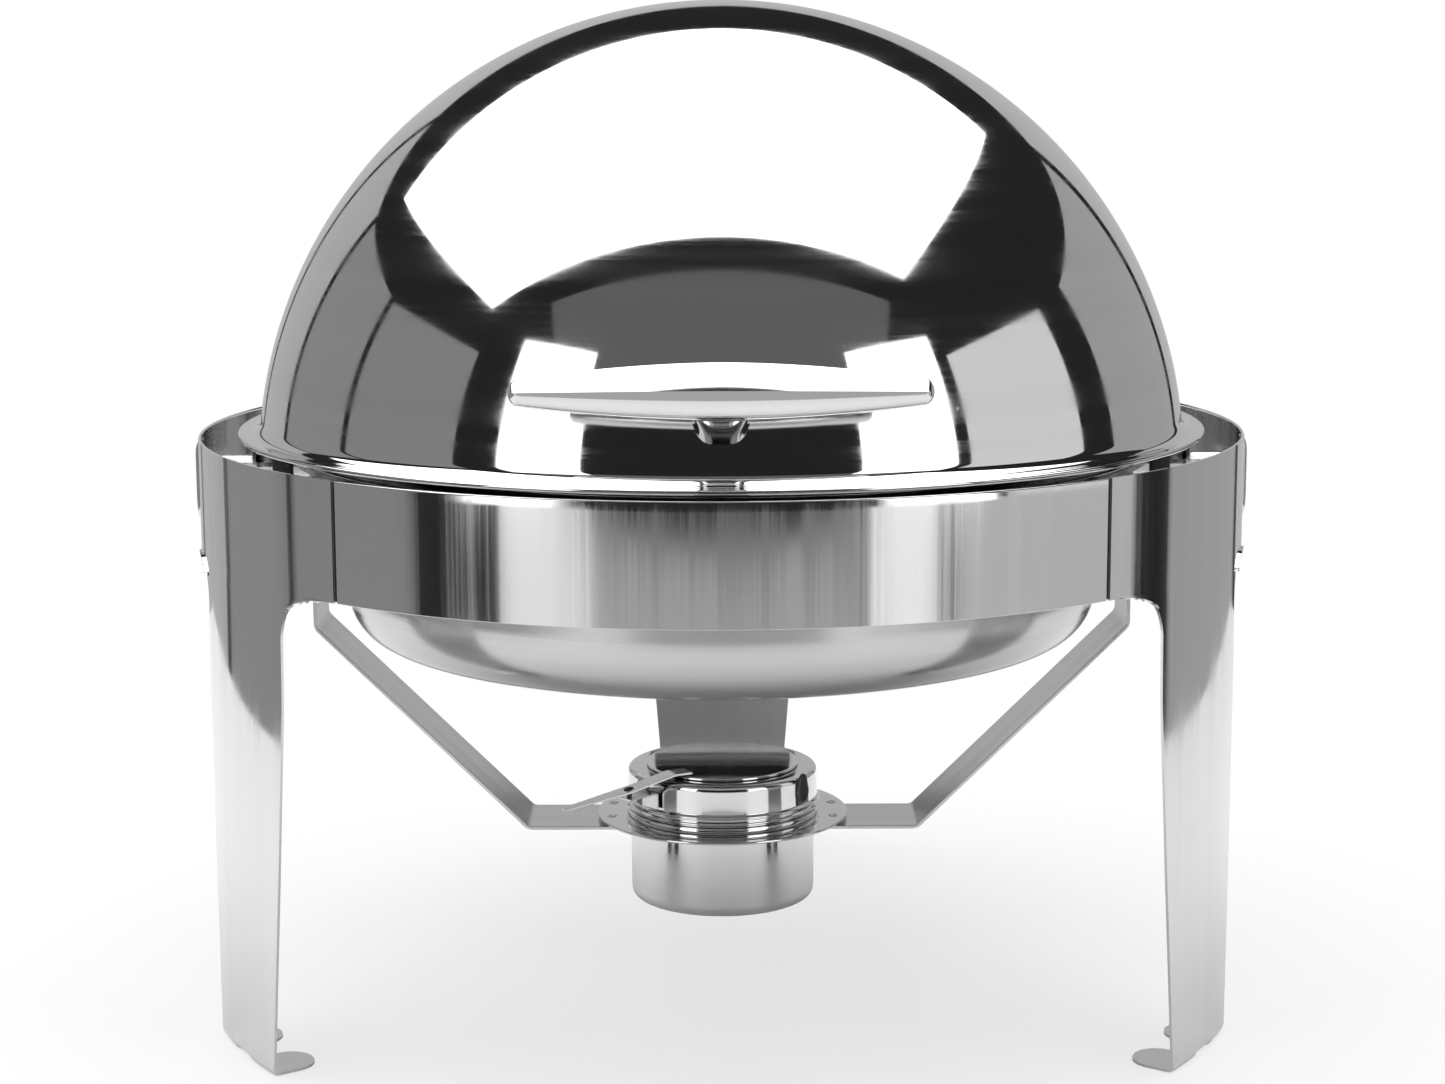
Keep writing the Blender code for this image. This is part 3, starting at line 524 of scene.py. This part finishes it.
water_low, water_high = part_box("water_pan")
food_low, food_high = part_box("food_pan")
water = turned("water_pan_drawn", pan_profile(0.1750, water_low.z, water_high.z - PAN_SHEET, 0.030,
                                              water_high.x - 0.0006, 0.0030, PAN_SHEET), 200)
place(water, "water_pan", "satin_steel", "water_pan")
food = turned("food_pan_drawn", pan_profile(0.1713, food_low.z, food_high.z - PAN_SHEET, 0.022,
                                            food_high.x - 0.0006, 0.0004, PAN_SHEET), 200)
place(food, "food_pan", "satin_steel", "food_pan")

ring_low, ring_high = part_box("pan_support_ring")
rest_r = ring_high.x
support = turned("support_ring_rolled", rounded(
    [(rest_r, 0.230), (rest_r, ring_high.z), (rest_r - SHEET, ring_high.z),
     (rest_r - SHEET, ring_low.z), (rest_r, ring_low.z), (rest_r, 0.230)],
    (0.0005, 0.0005, 0.0005, 0.0005), 3)[:-1], 192)
place(support, "stand", "satin_steel", "pan_support_ring")

# %% [markdown]
# ## The burner
# A small deep cup holds the gel fuel and hangs by its bead in a flat ring between the straps.
# A pressed cover with two beads sits on top, and a disc on a lever shuts its mouth. The
# beads are the liveliest thing here: each is one small wave in the profile,
# radius + depth * sin(angle) ** 2, and each mirrors the whole studio in a thin line.

# %% Fuel cup and holder ring
cup_low, cup_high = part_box("fuel_cup")
CUP_R = 0.0434
CUP_SHEET = 0.0008
CUP_BEAD = 0.0024       # height of the bead that the cup hangs by
inside, base = CUP_R - CUP_SHEET, cup_low.z + CUP_SHEET
cup_outer = rounded([(0.001, cup_low.z), (CUP_R, cup_low.z), (CUP_R, cup_high.z - CUP_BEAD),
                     (cup_high.x, cup_high.z - CUP_BEAD), (cup_high.x, cup_high.z),
                     (inside, cup_high.z)], (0.0050, 0.0004, 0.0010, 0.0010), 8)
cup_inner = rounded([(inside, cup_high.z - CUP_BEAD / 2), (inside, base), (0.001, base)],
                    (0.0042,), 8)
cup = turned("fuel_cup_drawn", np.concatenate([[[0, cup_low.z]], cup_outer, cup_inner,
                                               [[0, base]]]), 128)
place(cup, "fuel_cup", "mirror_steel", "fuel_cup")

holder_low, holder_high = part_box("burner_holder_ring")
HOLDER_R = holder_high.x + 0.0012
holder = turned("holder_ring_pressed", rounded(
    [(0.050, holder_high.z), (HOLDER_R, holder_high.z), (HOLDER_R, holder_low.z),
     (0.0442, holder_low.z), (0.0442, holder_high.z), (0.050, holder_high.z)],
    (0.0006, 0.0005, 0.0003, 0.0005), 4)[:-1], 128)
place(holder, "stand", "satin_steel", "burner_holder_ring")

# %% Burner cover with its beads, and the damper disc
hood_low, hood_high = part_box("burner_cover")
HOOD_R = 0.0450
HOOD_SHEET = 0.0008
MOUTH_R = 0.0292
BEAD_TOP = hood_low.z + 0.0060


def bead_wall(level):
    """Two beads, 3 mm apart, standing 1.1 mm out from the wall."""
    wave = np.sin(np.pi * (BEAD_TOP - level) / 0.0030) ** 2
    return HOOD_R + 0.0011 * wave


levels = np.linspace(BEAD_TOP, hood_low.z, 40)
shoulder = rounded([(MOUTH_R, hood_high.z), (HOOD_R, hood_high.z), (HOOD_R, BEAD_TOP)],
                   (0.0032,), 12)
hood_outer = np.concatenate([shoulder[:-1], np.stack([bead_wall(levels), levels], axis=1)])
wall, ceiling = HOOD_R - HOOD_SHEET, hood_high.z - HOOD_SHEET
hood_inner = rounded([(wall, hood_low.z), (wall, ceiling), (MOUTH_R, ceiling)], (0.0026,), 8)
hood = turned("burner_cover_pressed", np.concatenate([hood_outer, hood_inner]), 160)
place(hood, "burner_cover", "mirror_steel", "burner_cover")

disc_low, disc_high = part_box("damper_disc")
disc_r = disc_high.x
disc_profile = rounded([(0.001, disc_high.z), (disc_r, disc_high.z), (disc_r, disc_low.z),
                        (0.001, disc_low.z)], (0.0007, 0.0003), 6)
disc = turned("damper_disc_pressed", np.concatenate([[[0, disc_high.z]], disc_profile,
                                                     [[0, disc_low.z]]]), 128)
place(disc, "damper", "mirror_steel", "damper_disc")

# %% [markdown]
# ### The damper's lever, its lug and the keeper
# A flat lever swings the disc aside about a rivet on a small lug, and a drop-shaped keeper is
# fixed to the cover's wall. The lever is a bent strip like the straps. The keeper lies on a
# round wall, so its flat outline, u round the wall and v up, is wrapped by angle = u / radius.

# %% Lever, lug and keeper
LEVER_HALF = 0.0047
LEVER_SHEET = 0.0010
lever_start = np.array([-0.0160, -0.0280])
pivot_xy = np.array([-0.0430, -0.0415])
lever_dir = (pivot_xy - lever_start) / np.linalg.norm(pivot_xy - lever_start)
pivot_s = float(np.linalg.norm(pivot_xy - lever_start))
LEVER_TOP = disc_high.z + 0.0003 + LEVER_SHEET


def lever_grid():
    """Flat on the disc, then straight down past the pivot to a blunt tip."""
    line = rounded([(0.0, LEVER_TOP), (0.0085, LEVER_TOP), (pivot_s, 0.0974),
                    (pivot_s + 0.0330, 0.0920)], (0.0020, 0.0040), 8)
    s, z = line[:, :1], line[:, 1:]
    tip = np.clip((s - (pivot_s + 0.0270)) / 0.0060, 0, 1)
    w = LEVER_HALF * (1 - 0.55 * tip) * np.linspace(-1, 1, 7)[None, :]
    x = lever_start[0] + lever_dir[0] * s - lever_dir[1] * w
    y = lever_start[1] + lever_dir[1] * s + lever_dir[0] * w
    return np.stack([x, y, z + 0 * w], axis=-1)


lever = surface("damper_lever_bent", lever_grid(), flip=False)
thicken(lever, LEVER_SHEET, 0.0002)
place(lever, "damper", "satin_steel", "damper_lever")


RIVET_Z = 0.0981
rivet_profile = np.array([[0, 0.0013], [0.0012, 0.0012], [0.0022, 0.0008], [0.0027, 0.0001],
                          [0.0027, -0.0004], [0.0012, -0.0006], [0.0012, -0.0030], [0, -0.0030]])
rivet = turned("lever_rivet", rivet_profile, 32, at=(*pivot_xy, RIVET_Z))
place(rivet, "burner_cover", "fasteners", "damper_rivet")

def wall_plate(outline, azimuth, radius, rise, rings=8):
    """A small plate laid on the burner's wall: u round the wall, v up, with a crowned face."""
    outline = np.asarray(outline, float)
    centre = outline.mean(axis=0)
    q = np.concatenate([np.sin(np.linspace(0, np.pi / 2, rings)), [1.0, 0.0]])[:, None, None]
    flat = centre + (outline - centre)[None] * q
    crown = np.concatenate([np.full(rings - 2, rise), [rise * 0.9, rise * 0.55], [0.0, 0.0]])
    a = azimuth + flat[..., 0] / radius
    radial = radius + crown[:, None]
    return np.stack([radial * np.cos(a), radial * np.sin(a), flat[..., 1]], axis=-1)


lug_low, lug_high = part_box("damper_bracket")
lug_azimuth = math.atan2(pivot_xy[1], pivot_xy[0])
lug_line = rounded([(0.0462, lug_low.z), (0.0462, lug_high.z + 0.0012),
                    (0.0640, lug_high.z + 0.0012)], (0.0016,), 8)
lug_w = np.linspace(-0.0052, 0.0052, 7)[None, :]
lug_r, lug_z = lug_line[:, :1] + 0 * lug_w, lug_line[:, 1:] + 0 * lug_w
lug_grid = np.stack([lug_r * math.cos(lug_azimuth) - lug_w * math.sin(lug_azimuth),
                     lug_r * math.sin(lug_azimuth) + lug_w * math.cos(lug_azimuth), lug_z], axis=-1)
lug = surface("damper_lug", lug_grid, flip=True)
thicken(lug, 0.0009, 0.0002)
place(lug, "burner_cover", "fasteners", "damper_bracket")

keeper_low, keeper_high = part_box("cover_keeper")
KEEPER_AZIMUTH = math.radians(-34)
drop = np.concatenate([arc(0, -0.0040, 0.0048, 150, 390, 24), arc(0, 0.0020, 0.0030, 20, 160, 12)])
keeper_mid = (keeper_low.z + keeper_high.z) / 2 + 0.0027
keeper = surface("keeper_plate", wall_plate(drop + [0, keeper_mid], KEEPER_AZIMUTH, 0.0449,
                                            0.0011), wrap_columns=True)
place(keeper, "burner_cover", "fasteners", "cover_keeper")

# %% [markdown]
# ## Spot welds
# The straps are joined to the burner's ring by spot welds, which show as shallow round dimples
# with a raised edge. Each is a small turned profile on the ring's top face, and it stands for
# the fixing that the solid model puts there.

# %% Spot welds on the holder ring
weld_profile = np.array([[0, 0.00005], [0.0010, 0.00008], [0.0016, 0.00030], [0.0021, 0.00026],
                         [0.0025, 0.0], [0.0025, -0.0030], [0, -0.0030]])
for tag in ("left_front", "left_rear", "right_front", "right_rear"):
    low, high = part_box("holder_rivet_" + tag)
    spot = ((low.x + high.x) / 2, (low.y + high.y) / 2, holder_high.z)
    weld = turned("spot_weld_" + tag, weld_profile, 24, at=spot)
    place(weld, "stand", "satin_steel", "holder_rivet_" + tag)

# %% [markdown]
# ## Finishes: what polished steel is
# Steel is a bare metal: all its colour is in what it mirrors, tinted a little grey. What makes
# a real piece different from a perfect mirror is small. Polishing leaves fine straight lines,
# hands and cloths leave soft smudges, and thin sheet is never quite flat. Each of these is a
# shader group that several materials share, and each material sets its own amounts.

# %% Group: polishing lines
def new_group(name, *outputs):
    """A shader group with a Place vector in and the named values out."""
    tree = bpy.data.node_groups.new(name, "ShaderNodeTree")
    sockets = tree.interface
    sockets.new_socket(name="Place", in_out="INPUT", socket_type="NodeSocketVector")
    for label in outputs:
        sockets.new_socket(name=label, in_out="OUTPUT", socket_type="NodeSocketFloat")
    return tree, tree.nodes.new("NodeGroupInput"), tree.nodes.new("NodeGroupOutput")

def noise_node(tree, vector, scale, detail, roughness=0.5):
    """Cloudy noise, about a half in the middle."""
    node = tree.nodes.new("ShaderNodeTexNoise")
    node.inputs["Scale"].default_value = scale
    node.inputs["Detail"].default_value = detail
    node.inputs["Roughness"].default_value = roughness
    tree.links.new(vector, node.inputs["Vector"])
    return node.outputs["Fac"]

def ramp_node(tree, value, low, high):
    """0 below low, 1 above high and a smooth step between."""
    node = tree.nodes.new("ShaderNodeMapRange")
    node.interpolation_type = "SMOOTHSTEP"
    node.inputs["From Min"].default_value = low
    node.inputs["From Max"].default_value = high
    tree.links.new(value, node.inputs["Value"])
    return node.outputs["Result"]

def math_node(tree, operation, *values):
    """A Math node: numbers are set on its sockets, anything else is linked to them."""
    node = tree.nodes.new("ShaderNodeMath")
    node.operation = operation
    for socket, value in zip(node.inputs, values):
        if isinstance(value, (int, float)):
            socket.default_value = value
        else:
            tree.links.new(value, socket)
    return node.outputs[0]

lines, source, result = new_group("polishing_lines", "Height", "Mask")
fine = noise_node(lines, source.outputs["Place"], 1.0, 3.0, 0.7)
broad = noise_node(lines, source.outputs["Place"], 0.13, 2.0)
both = math_node(lines, "MULTIPLY_ADD", fine, 0.6, broad)
lines.links.new(both, result.inputs["Height"])
lines.links.new(ramp_node(lines, both, 0.62, 0.98), result.inputs["Mask"])

# %% Group: handling marks, and group: sheet that isn't quite flat
marks, source, result = new_group("handling_marks", "Smudge", "Specks")
soft = noise_node(marks, source.outputs["Place"], 9.0, 4.0, 0.6)
marks.links.new(ramp_node(marks, soft, 0.48, 0.78), result.inputs["Smudge"])
grit = noise_node(marks, source.outputs["Place"], 420.0, 1.0)
marks.links.new(ramp_node(marks, grit, 0.74, 0.80), result.inputs["Specks"])

sway, source, result = new_group("sheet_sway", "Height")
sway.links.new(noise_node(sway, source.outputs["Place"], 1.0, 1.0, 0.3), result.inputs["Height"])
print("shader groups:", [group.name for group in (lines, marks, sway)])

# %% [markdown]
# ## One recipe for every steel
# The recipe below joins the groups: smudges and lines change the roughness a little, lines and
# sway go to the Bump node as height. Stretching the pattern's space gives the lines their
# direction: a place squeezed in Z changes fast going up, so its lines run level, as on a lathe.

# %% Steel recipe
def steel(name, tint, roughness, line_scale, line_rough=0.0, line_bump=0.0, smudge=0.03,
          sway_scale=(9, 9, 9), sway_bump=0.0, specks=0.0):
    """Roughness = base + smudge * marks + line_rough * lines + specks * grit;
    height = line_bump * lines + sway_bump * sway."""
    mat = bpy.data.materials.new(name)
    mat.use_nodes = True
    tree = mat.node_tree
    shader = tree.nodes["Principled BSDF"]
    shader.inputs["Metallic"].default_value = 1.0
    where = tree.nodes.new("ShaderNodeTexCoord").outputs["Object"]

    def stretched(scale):
        node = tree.nodes.new("ShaderNodeMapping")
        node.inputs["Scale"].default_value = scale
        tree.links.new(where, node.inputs["Vector"])
        return node.outputs["Vector"]

    def use(group, vector):
        node = tree.nodes.new("ShaderNodeGroup")
        node.node_tree = group
        tree.links.new(vector, node.inputs["Place"])
        return node.outputs

    line = use(lines, stretched(line_scale))
    mark = use(marks, where)
    bend = use(sway, stretched(sway_scale))
    rough = math_node(tree, "MULTIPLY_ADD", mark["Smudge"], smudge, roughness)
    rough = math_node(tree, "MULTIPLY_ADD", line["Mask"], line_rough, rough)
    rough = math_node(tree, "MULTIPLY_ADD", mark["Specks"], specks, rough)
    tree.links.new(rough, shader.inputs["Roughness"])
    mix = tree.nodes.new("ShaderNodeMix")
    mix.data_type = "RGBA"
    mix.inputs["A"].default_value = (*tint, 1)
    mix.inputs["B"].default_value = (*(0.90 * c for c in tint), 1)
    tree.links.new(math_node(tree, "MULTIPLY", line["Mask"], 0.3), mix.inputs["Factor"])
    tree.links.new(mix.outputs["Result"], shader.inputs["Base Color"])
    bump = tree.nodes.new("ShaderNodeBump")
    bump.inputs["Distance"].default_value = 0.001
    height = math_node(tree, "MULTIPLY", bend["Height"], sway_bump)
    height = math_node(tree, "MULTIPLY_ADD", line["Height"], line_bump, height)
    tree.links.new(height, bump.inputs["Height"])
    tree.links.new(bump.outputs["Normal"], shader.inputs["Normal"])
    return mat


LEVEL, UPRIGHT, EVEN = (3, 3, 700), (700, 700, 3), (260, 260, 260)
TINT = (0.70, 0.70, 0.705)
finishes = {
    "dome": steel("steel_spun_mirror", TINT, 0.035, LEVEL, 0.05, 0.0008, 0.03,
                  (5, 5, 5), 0.05, 0.05),
    "ring": steel("steel_sheet_mirror", TINT, 0.055, UPRIGHT, 0.07, 0.0012, 0.03,
                  (14, 14, 2), 0.10, 0.05),
    "band": steel("steel_brushed_band", TINT, 0.085, UPRIGHT, 0.10, 0.0030, 0.04,
                  (14, 14, 2), 0.06, 0.05),
    # The splice's dark grey colour is painted shade: it darkens the groove between the panels.
    "groove": steel("steel_dull_splice", (0.22, 0.22, 0.22), 0.35, EVEN, 0.10, 0.0030, 0.05),
    # Near-black colour is painted reflection: it stands in for the dark surroundings that the rivet
    # and keeper mirror.
    "dark": steel("steel_dark_painted_reflection", (0.10, 0.10, 0.10), 0.30, EVEN, 0.10, 0.0030, 0.05),
    "grip": steel("steel_buffed_handle", (0.74, 0.74, 0.745), 0.050, (3, 500, 500), 0.05, 0.0006),
    # The cup's tint is lighter than the other steels: painted reflection, brightening it as if it
    # mirrored more lit floor.
    "cup": steel("steel_drawn_cup_painted_brightness", (0.86, 0.86, 0.86), 0.060, LEVEL, 0.08, 0.0015, 0.05),
    "hood": steel("steel_pressed_cover", TINT, 0.045, LEVEL, 0.04, 0.0008, 0.03,
                  (60, 60, 60), 0.02),
    "pan": steel("steel_satin_pan", (0.55, 0.55, 0.55), 0.15, LEVEL, 0.08, 0.0030, 0.05),
    "strap": steel("steel_satin_strap", (0.62, 0.62, 0.62), 0.17, (3, 700, 3), 0.05, 0.0005, 0.05),
    "small": steel("steel_plated_small", (0.66, 0.66, 0.66), 0.16, EVEN, 0.12, 0.0030, 0.06),
}
print("steel finishes:", len(finishes))

# %% [markdown]
# ## Rubber, and who gets which finish
# The bumpers are black rubber: no metal, rough, with a little grime. Then every new piece and
# every model node gets a finish by name, so that nothing is left with a plain default.

# %% Rubber for the lid's bumpers
rubber = bpy.data.materials.new("rubber_bumper")
rubber.use_nodes = True
tree = rubber.node_tree
shader = tree.nodes["Principled BSDF"]
grime = noise_node(tree, tree.nodes.new("ShaderNodeTexCoord").outputs["Object"], 300.0, 3.0)
mix = tree.nodes.new("ShaderNodeMix")
mix.data_type = "RGBA"
mix.inputs["A"].default_value = (0.018, 0.018, 0.018, 1)
mix.inputs["B"].default_value = (0.050, 0.050, 0.048, 1)
tree.links.new(grime, mix.inputs["Factor"])
tree.links.new(mix.outputs["Result"], shader.inputs["Base Color"])
tree.links.new(math_node(tree, "MULTIPLY_ADD", grime, 0.3, 0.5), shader.inputs["Roughness"])
finishes["rubber"] = rubber

# %% Give every piece its finish
FINISH_OF = {
    "lid_dome": "dome", "handle_grip": "grip", "handle_pedestal": "grip",
    "pivot_cover_left": "ring", "pivot_cover_right": "ring", "strap_left": "strap",
    "strap_right": "strap", "water_pan_drawn": "pan", "food_pan_drawn": "pan",
    "support_ring_rolled": "pan", "fuel_cup_drawn": "cup", "holder_ring_pressed": "hood",
    "front_band_sheet": "band", "left_rear_band_sheet": "band", "right_rear_band_sheet": "band",
    # The lever's rivet and the keeper take the near-black finish, a painted dark reflection.
    "lever_rivet": "dark",
    "burner_cover_pressed": "hood", "damper_disc_pressed": "hood", "damper_lever_bent": "strap",
    "damper_lug": "small", "keeper_plate": "dark",
}
FAMILY_FINISH = {"spot": "strap", "splice": "groove"}
for name, obj in pieces.items():
    kind = FINISH_OF.get(name) or FAMILY_FINISH.get(name.split("_")[0], "ring")
    obj.data.materials.append(finishes[kind])
for name, node in frame["nodes"].items():
    kind = "rubber" if "bumper" in name else "small"
    if name.startswith("support_bracket"):
        kind = "strap"
    if name.startswith("lid_ear"):
        kind = "ring"
    node.data.materials.clear()
    node.data.materials.append(finishes[kind])
print("finished:", len(pieces), "new pieces and", len(frame["nodes"]), "model nodes")

# %% [markdown]
# ## The studio
# A mirror shows the room, so the room is part of the model's look. A big soft box hangs
# overhead, two tall strip boxes stand either side of the camera, and grey panels with narrow
# dark gaps close the sides. Everything between them is dark, which gives the crisp black
# stripes that make steel read as steel. The lamps are area lights, seen only by reflection.
# Below table height the strips are dimmer and narrower: the ring mirrors that part of the room,
# and the dome mirrors the part above it.

# %% Lamps
def lamp(name, centre, aim, size, glow):
    """A soft box: its power is glow times its area, so equal glow looks equally bright."""
    data = bpy.data.lights.new(name, "AREA")
    data.shape = "RECTANGLE"
    data.size, data.size_y = size
    data.energy = glow * size[0] * size[1] * math.pi
    obj = bpy.data.objects.new(name, data)
    scene.collection.objects.link(obj)
    obj.location = centre
    obj.rotation_euler = (Vector(aim) - Vector(centre)).to_track_quat("-Z", "Y").to_euler()
    obj.visible_camera = False
    return obj


def panel(name, azimuths, distance, heights, glow):
    """An upright panel between two azimuths, 0 being the camera's side and 90 the right."""
    a = math.radians(sum(azimuths) / 2)
    width = 2 * distance * math.tan(math.radians(azimuths[1] - azimuths[0]) / 2)
    middle = sum(heights) / 2
    centre = (math.sin(a) * distance, -math.cos(a) * distance, middle)
    lamp(name, centre, (0, 0, middle), (width, heights[1] - heights[0]), glow)


LOW, TABLE, HIGH = -0.55, 0.09, 1.20
lamp("overhead_box", (-0.32, 0.25, pivot_z + 1.5), (-0.32, 0.25, 0), (3.35, 2.30), 3.0)
panel("strip_left", (-51, -31), 1.6, (TABLE, HIGH), 2.2)
panel("strip_right", (31, 54), 1.6, (TABLE, HIGH), 2.2)
panel("strip_left_low", (-43, -25), 1.6, (LOW, TABLE), 1.00)
panel("strip_right_low", (28, 42), 1.6, (LOW, TABLE), 1.10)
panel("grey_left_1", (-97, -63), 1.9, (LOW, HIGH), 0.27)
panel("grey_left_2", (-126, -99), 1.9, (LOW, HIGH), 0.29)
panel("grey_left_3", (-149, -128), 1.9, (LOW, HIGH), 0.48)
panel("grey_left_4", (-180, -151), 1.9, (LOW, HIGH), 0.52)
panel("pale_right_1", (58, 92), 1.9, (TABLE, HIGH), 0.80)
panel("pale_right_low", (47, 92), 1.9, (LOW, TABLE), 0.56)
panel("grey_right_2", (104, 142), 1.9, (LOW, HIGH), 0.40)
panel("grey_right_3", (145, 180), 1.9, (LOW, HIGH), 0.50)
panel("front_low", (-25.5, 25.5), 1.5, (LOW, 0.03), 0.46)
lamp("front_ceiling", (0, -1.75, 1.75), (0, 0, pivot_z), (3.4, 0.9), 0.13)

# %% [markdown]
# ## Floor, world and camera
# The floor is a plain pale sheet. Seen straight from the camera it fades into the pale world
# some way out, so no horizon shows, while in the steel it stays a lit floor in a dark room. The
# camera stands in front at table height, looking slightly down, with a moderately long lens.

# %% Floor
FLOOR_HALF = 0.80
floor_rows = np.linspace(-FLOOR_HALF, FLOOR_HALF, 13)
fx, fy = np.meshgrid(floor_rows, floor_rows, indexing="ij")
floor = surface("studio_floor", np.stack([fx, fy, 0 * fx - 0.0002], axis=-1), flip=True)
floor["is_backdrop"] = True
floor_mat = bpy.data.materials.new("floor_pale_sheet")
floor_mat.use_nodes = True
tree = floor_mat.node_tree
shader = tree.nodes["Principled BSDF"]
shader.inputs["Base Color"].default_value = (0.80, 0.80, 0.80, 1)
shader.inputs["Roughness"].default_value = 0.6
out = tree.nodes["Material Output"]
away = tree.nodes.new("ShaderNodeVectorMath")
away.operation = "LENGTH"
tree.links.new(tree.nodes.new("ShaderNodeTexCoord").outputs["Object"], away.inputs[0])
fade_out = ramp_node(tree, away.outputs["Value"], 0.28, 0.75)
seen = tree.nodes.new("ShaderNodeLightPath").outputs["Is Camera Ray"]
clear = tree.nodes.new("ShaderNodeBsdfTransparent")
blend = tree.nodes.new("ShaderNodeMixShader")
clearness = math_node(tree, "MULTIPLY_ADD", fade_out, 0.30, 0.70)
tree.links.new(math_node(tree, "MULTIPLY", clearness, seen), blend.inputs["Fac"])
tree.links.new(shader.outputs["BSDF"], blend.inputs[1])
tree.links.new(clear.outputs["BSDF"], blend.inputs[2])
tree.links.new(blend.outputs["Shader"], out.inputs["Surface"])
floor.data.materials.append(floor_mat)

# %% World: pale to the camera, dark to the steel
world = bpy.data.worlds.new("studio_room")
scene.world = world
world.use_nodes = True
tree = world.node_tree
tree.nodes.clear()
pale = tree.nodes.new("ShaderNodeBackground")
pale.inputs["Color"].default_value = (1, 1, 1, 1)
dark = tree.nodes.new("ShaderNodeBackground")
dark.inputs["Color"].default_value = (0.022, 0.022, 0.023, 1)
blend = tree.nodes.new("ShaderNodeMixShader")
tree.links.new(tree.nodes.new("ShaderNodeLightPath").outputs["Is Camera Ray"], blend.inputs["Fac"])
tree.links.new(dark.outputs["Background"], blend.inputs[1])
tree.links.new(pale.outputs["Background"], blend.inputs[2])
tree.links.new(blend.outputs["Shader"], tree.nodes.new("ShaderNodeOutputWorld").inputs["Surface"])
scene.view_settings.view_transform = "Standard"

# %% Camera
CAMERA_AT = (0, -1.25, 0.418323)
PITCH = 9.137           # degrees down
ROLL = -0.21
lens = bpy.data.cameras.new("table_camera")
lens.sensor_width = 36.0
lens.lens = 67.14
lens.shift_x, lens.shift_y = 0.0007, -0.0152
camera = bpy.data.objects.new("table_camera", lens)
scene.collection.objects.link(camera)
tilt = Euler((math.radians(90 - PITCH), 0, 0)).to_matrix().to_4x4()
camera.matrix_world = (Matrix.Translation(CAMERA_AT) @ tilt
                       @ Matrix.Rotation(math.radians(ROLL), 4, "Z"))
scene.camera = camera

# %% Bounds of the shown objects
low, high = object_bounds()
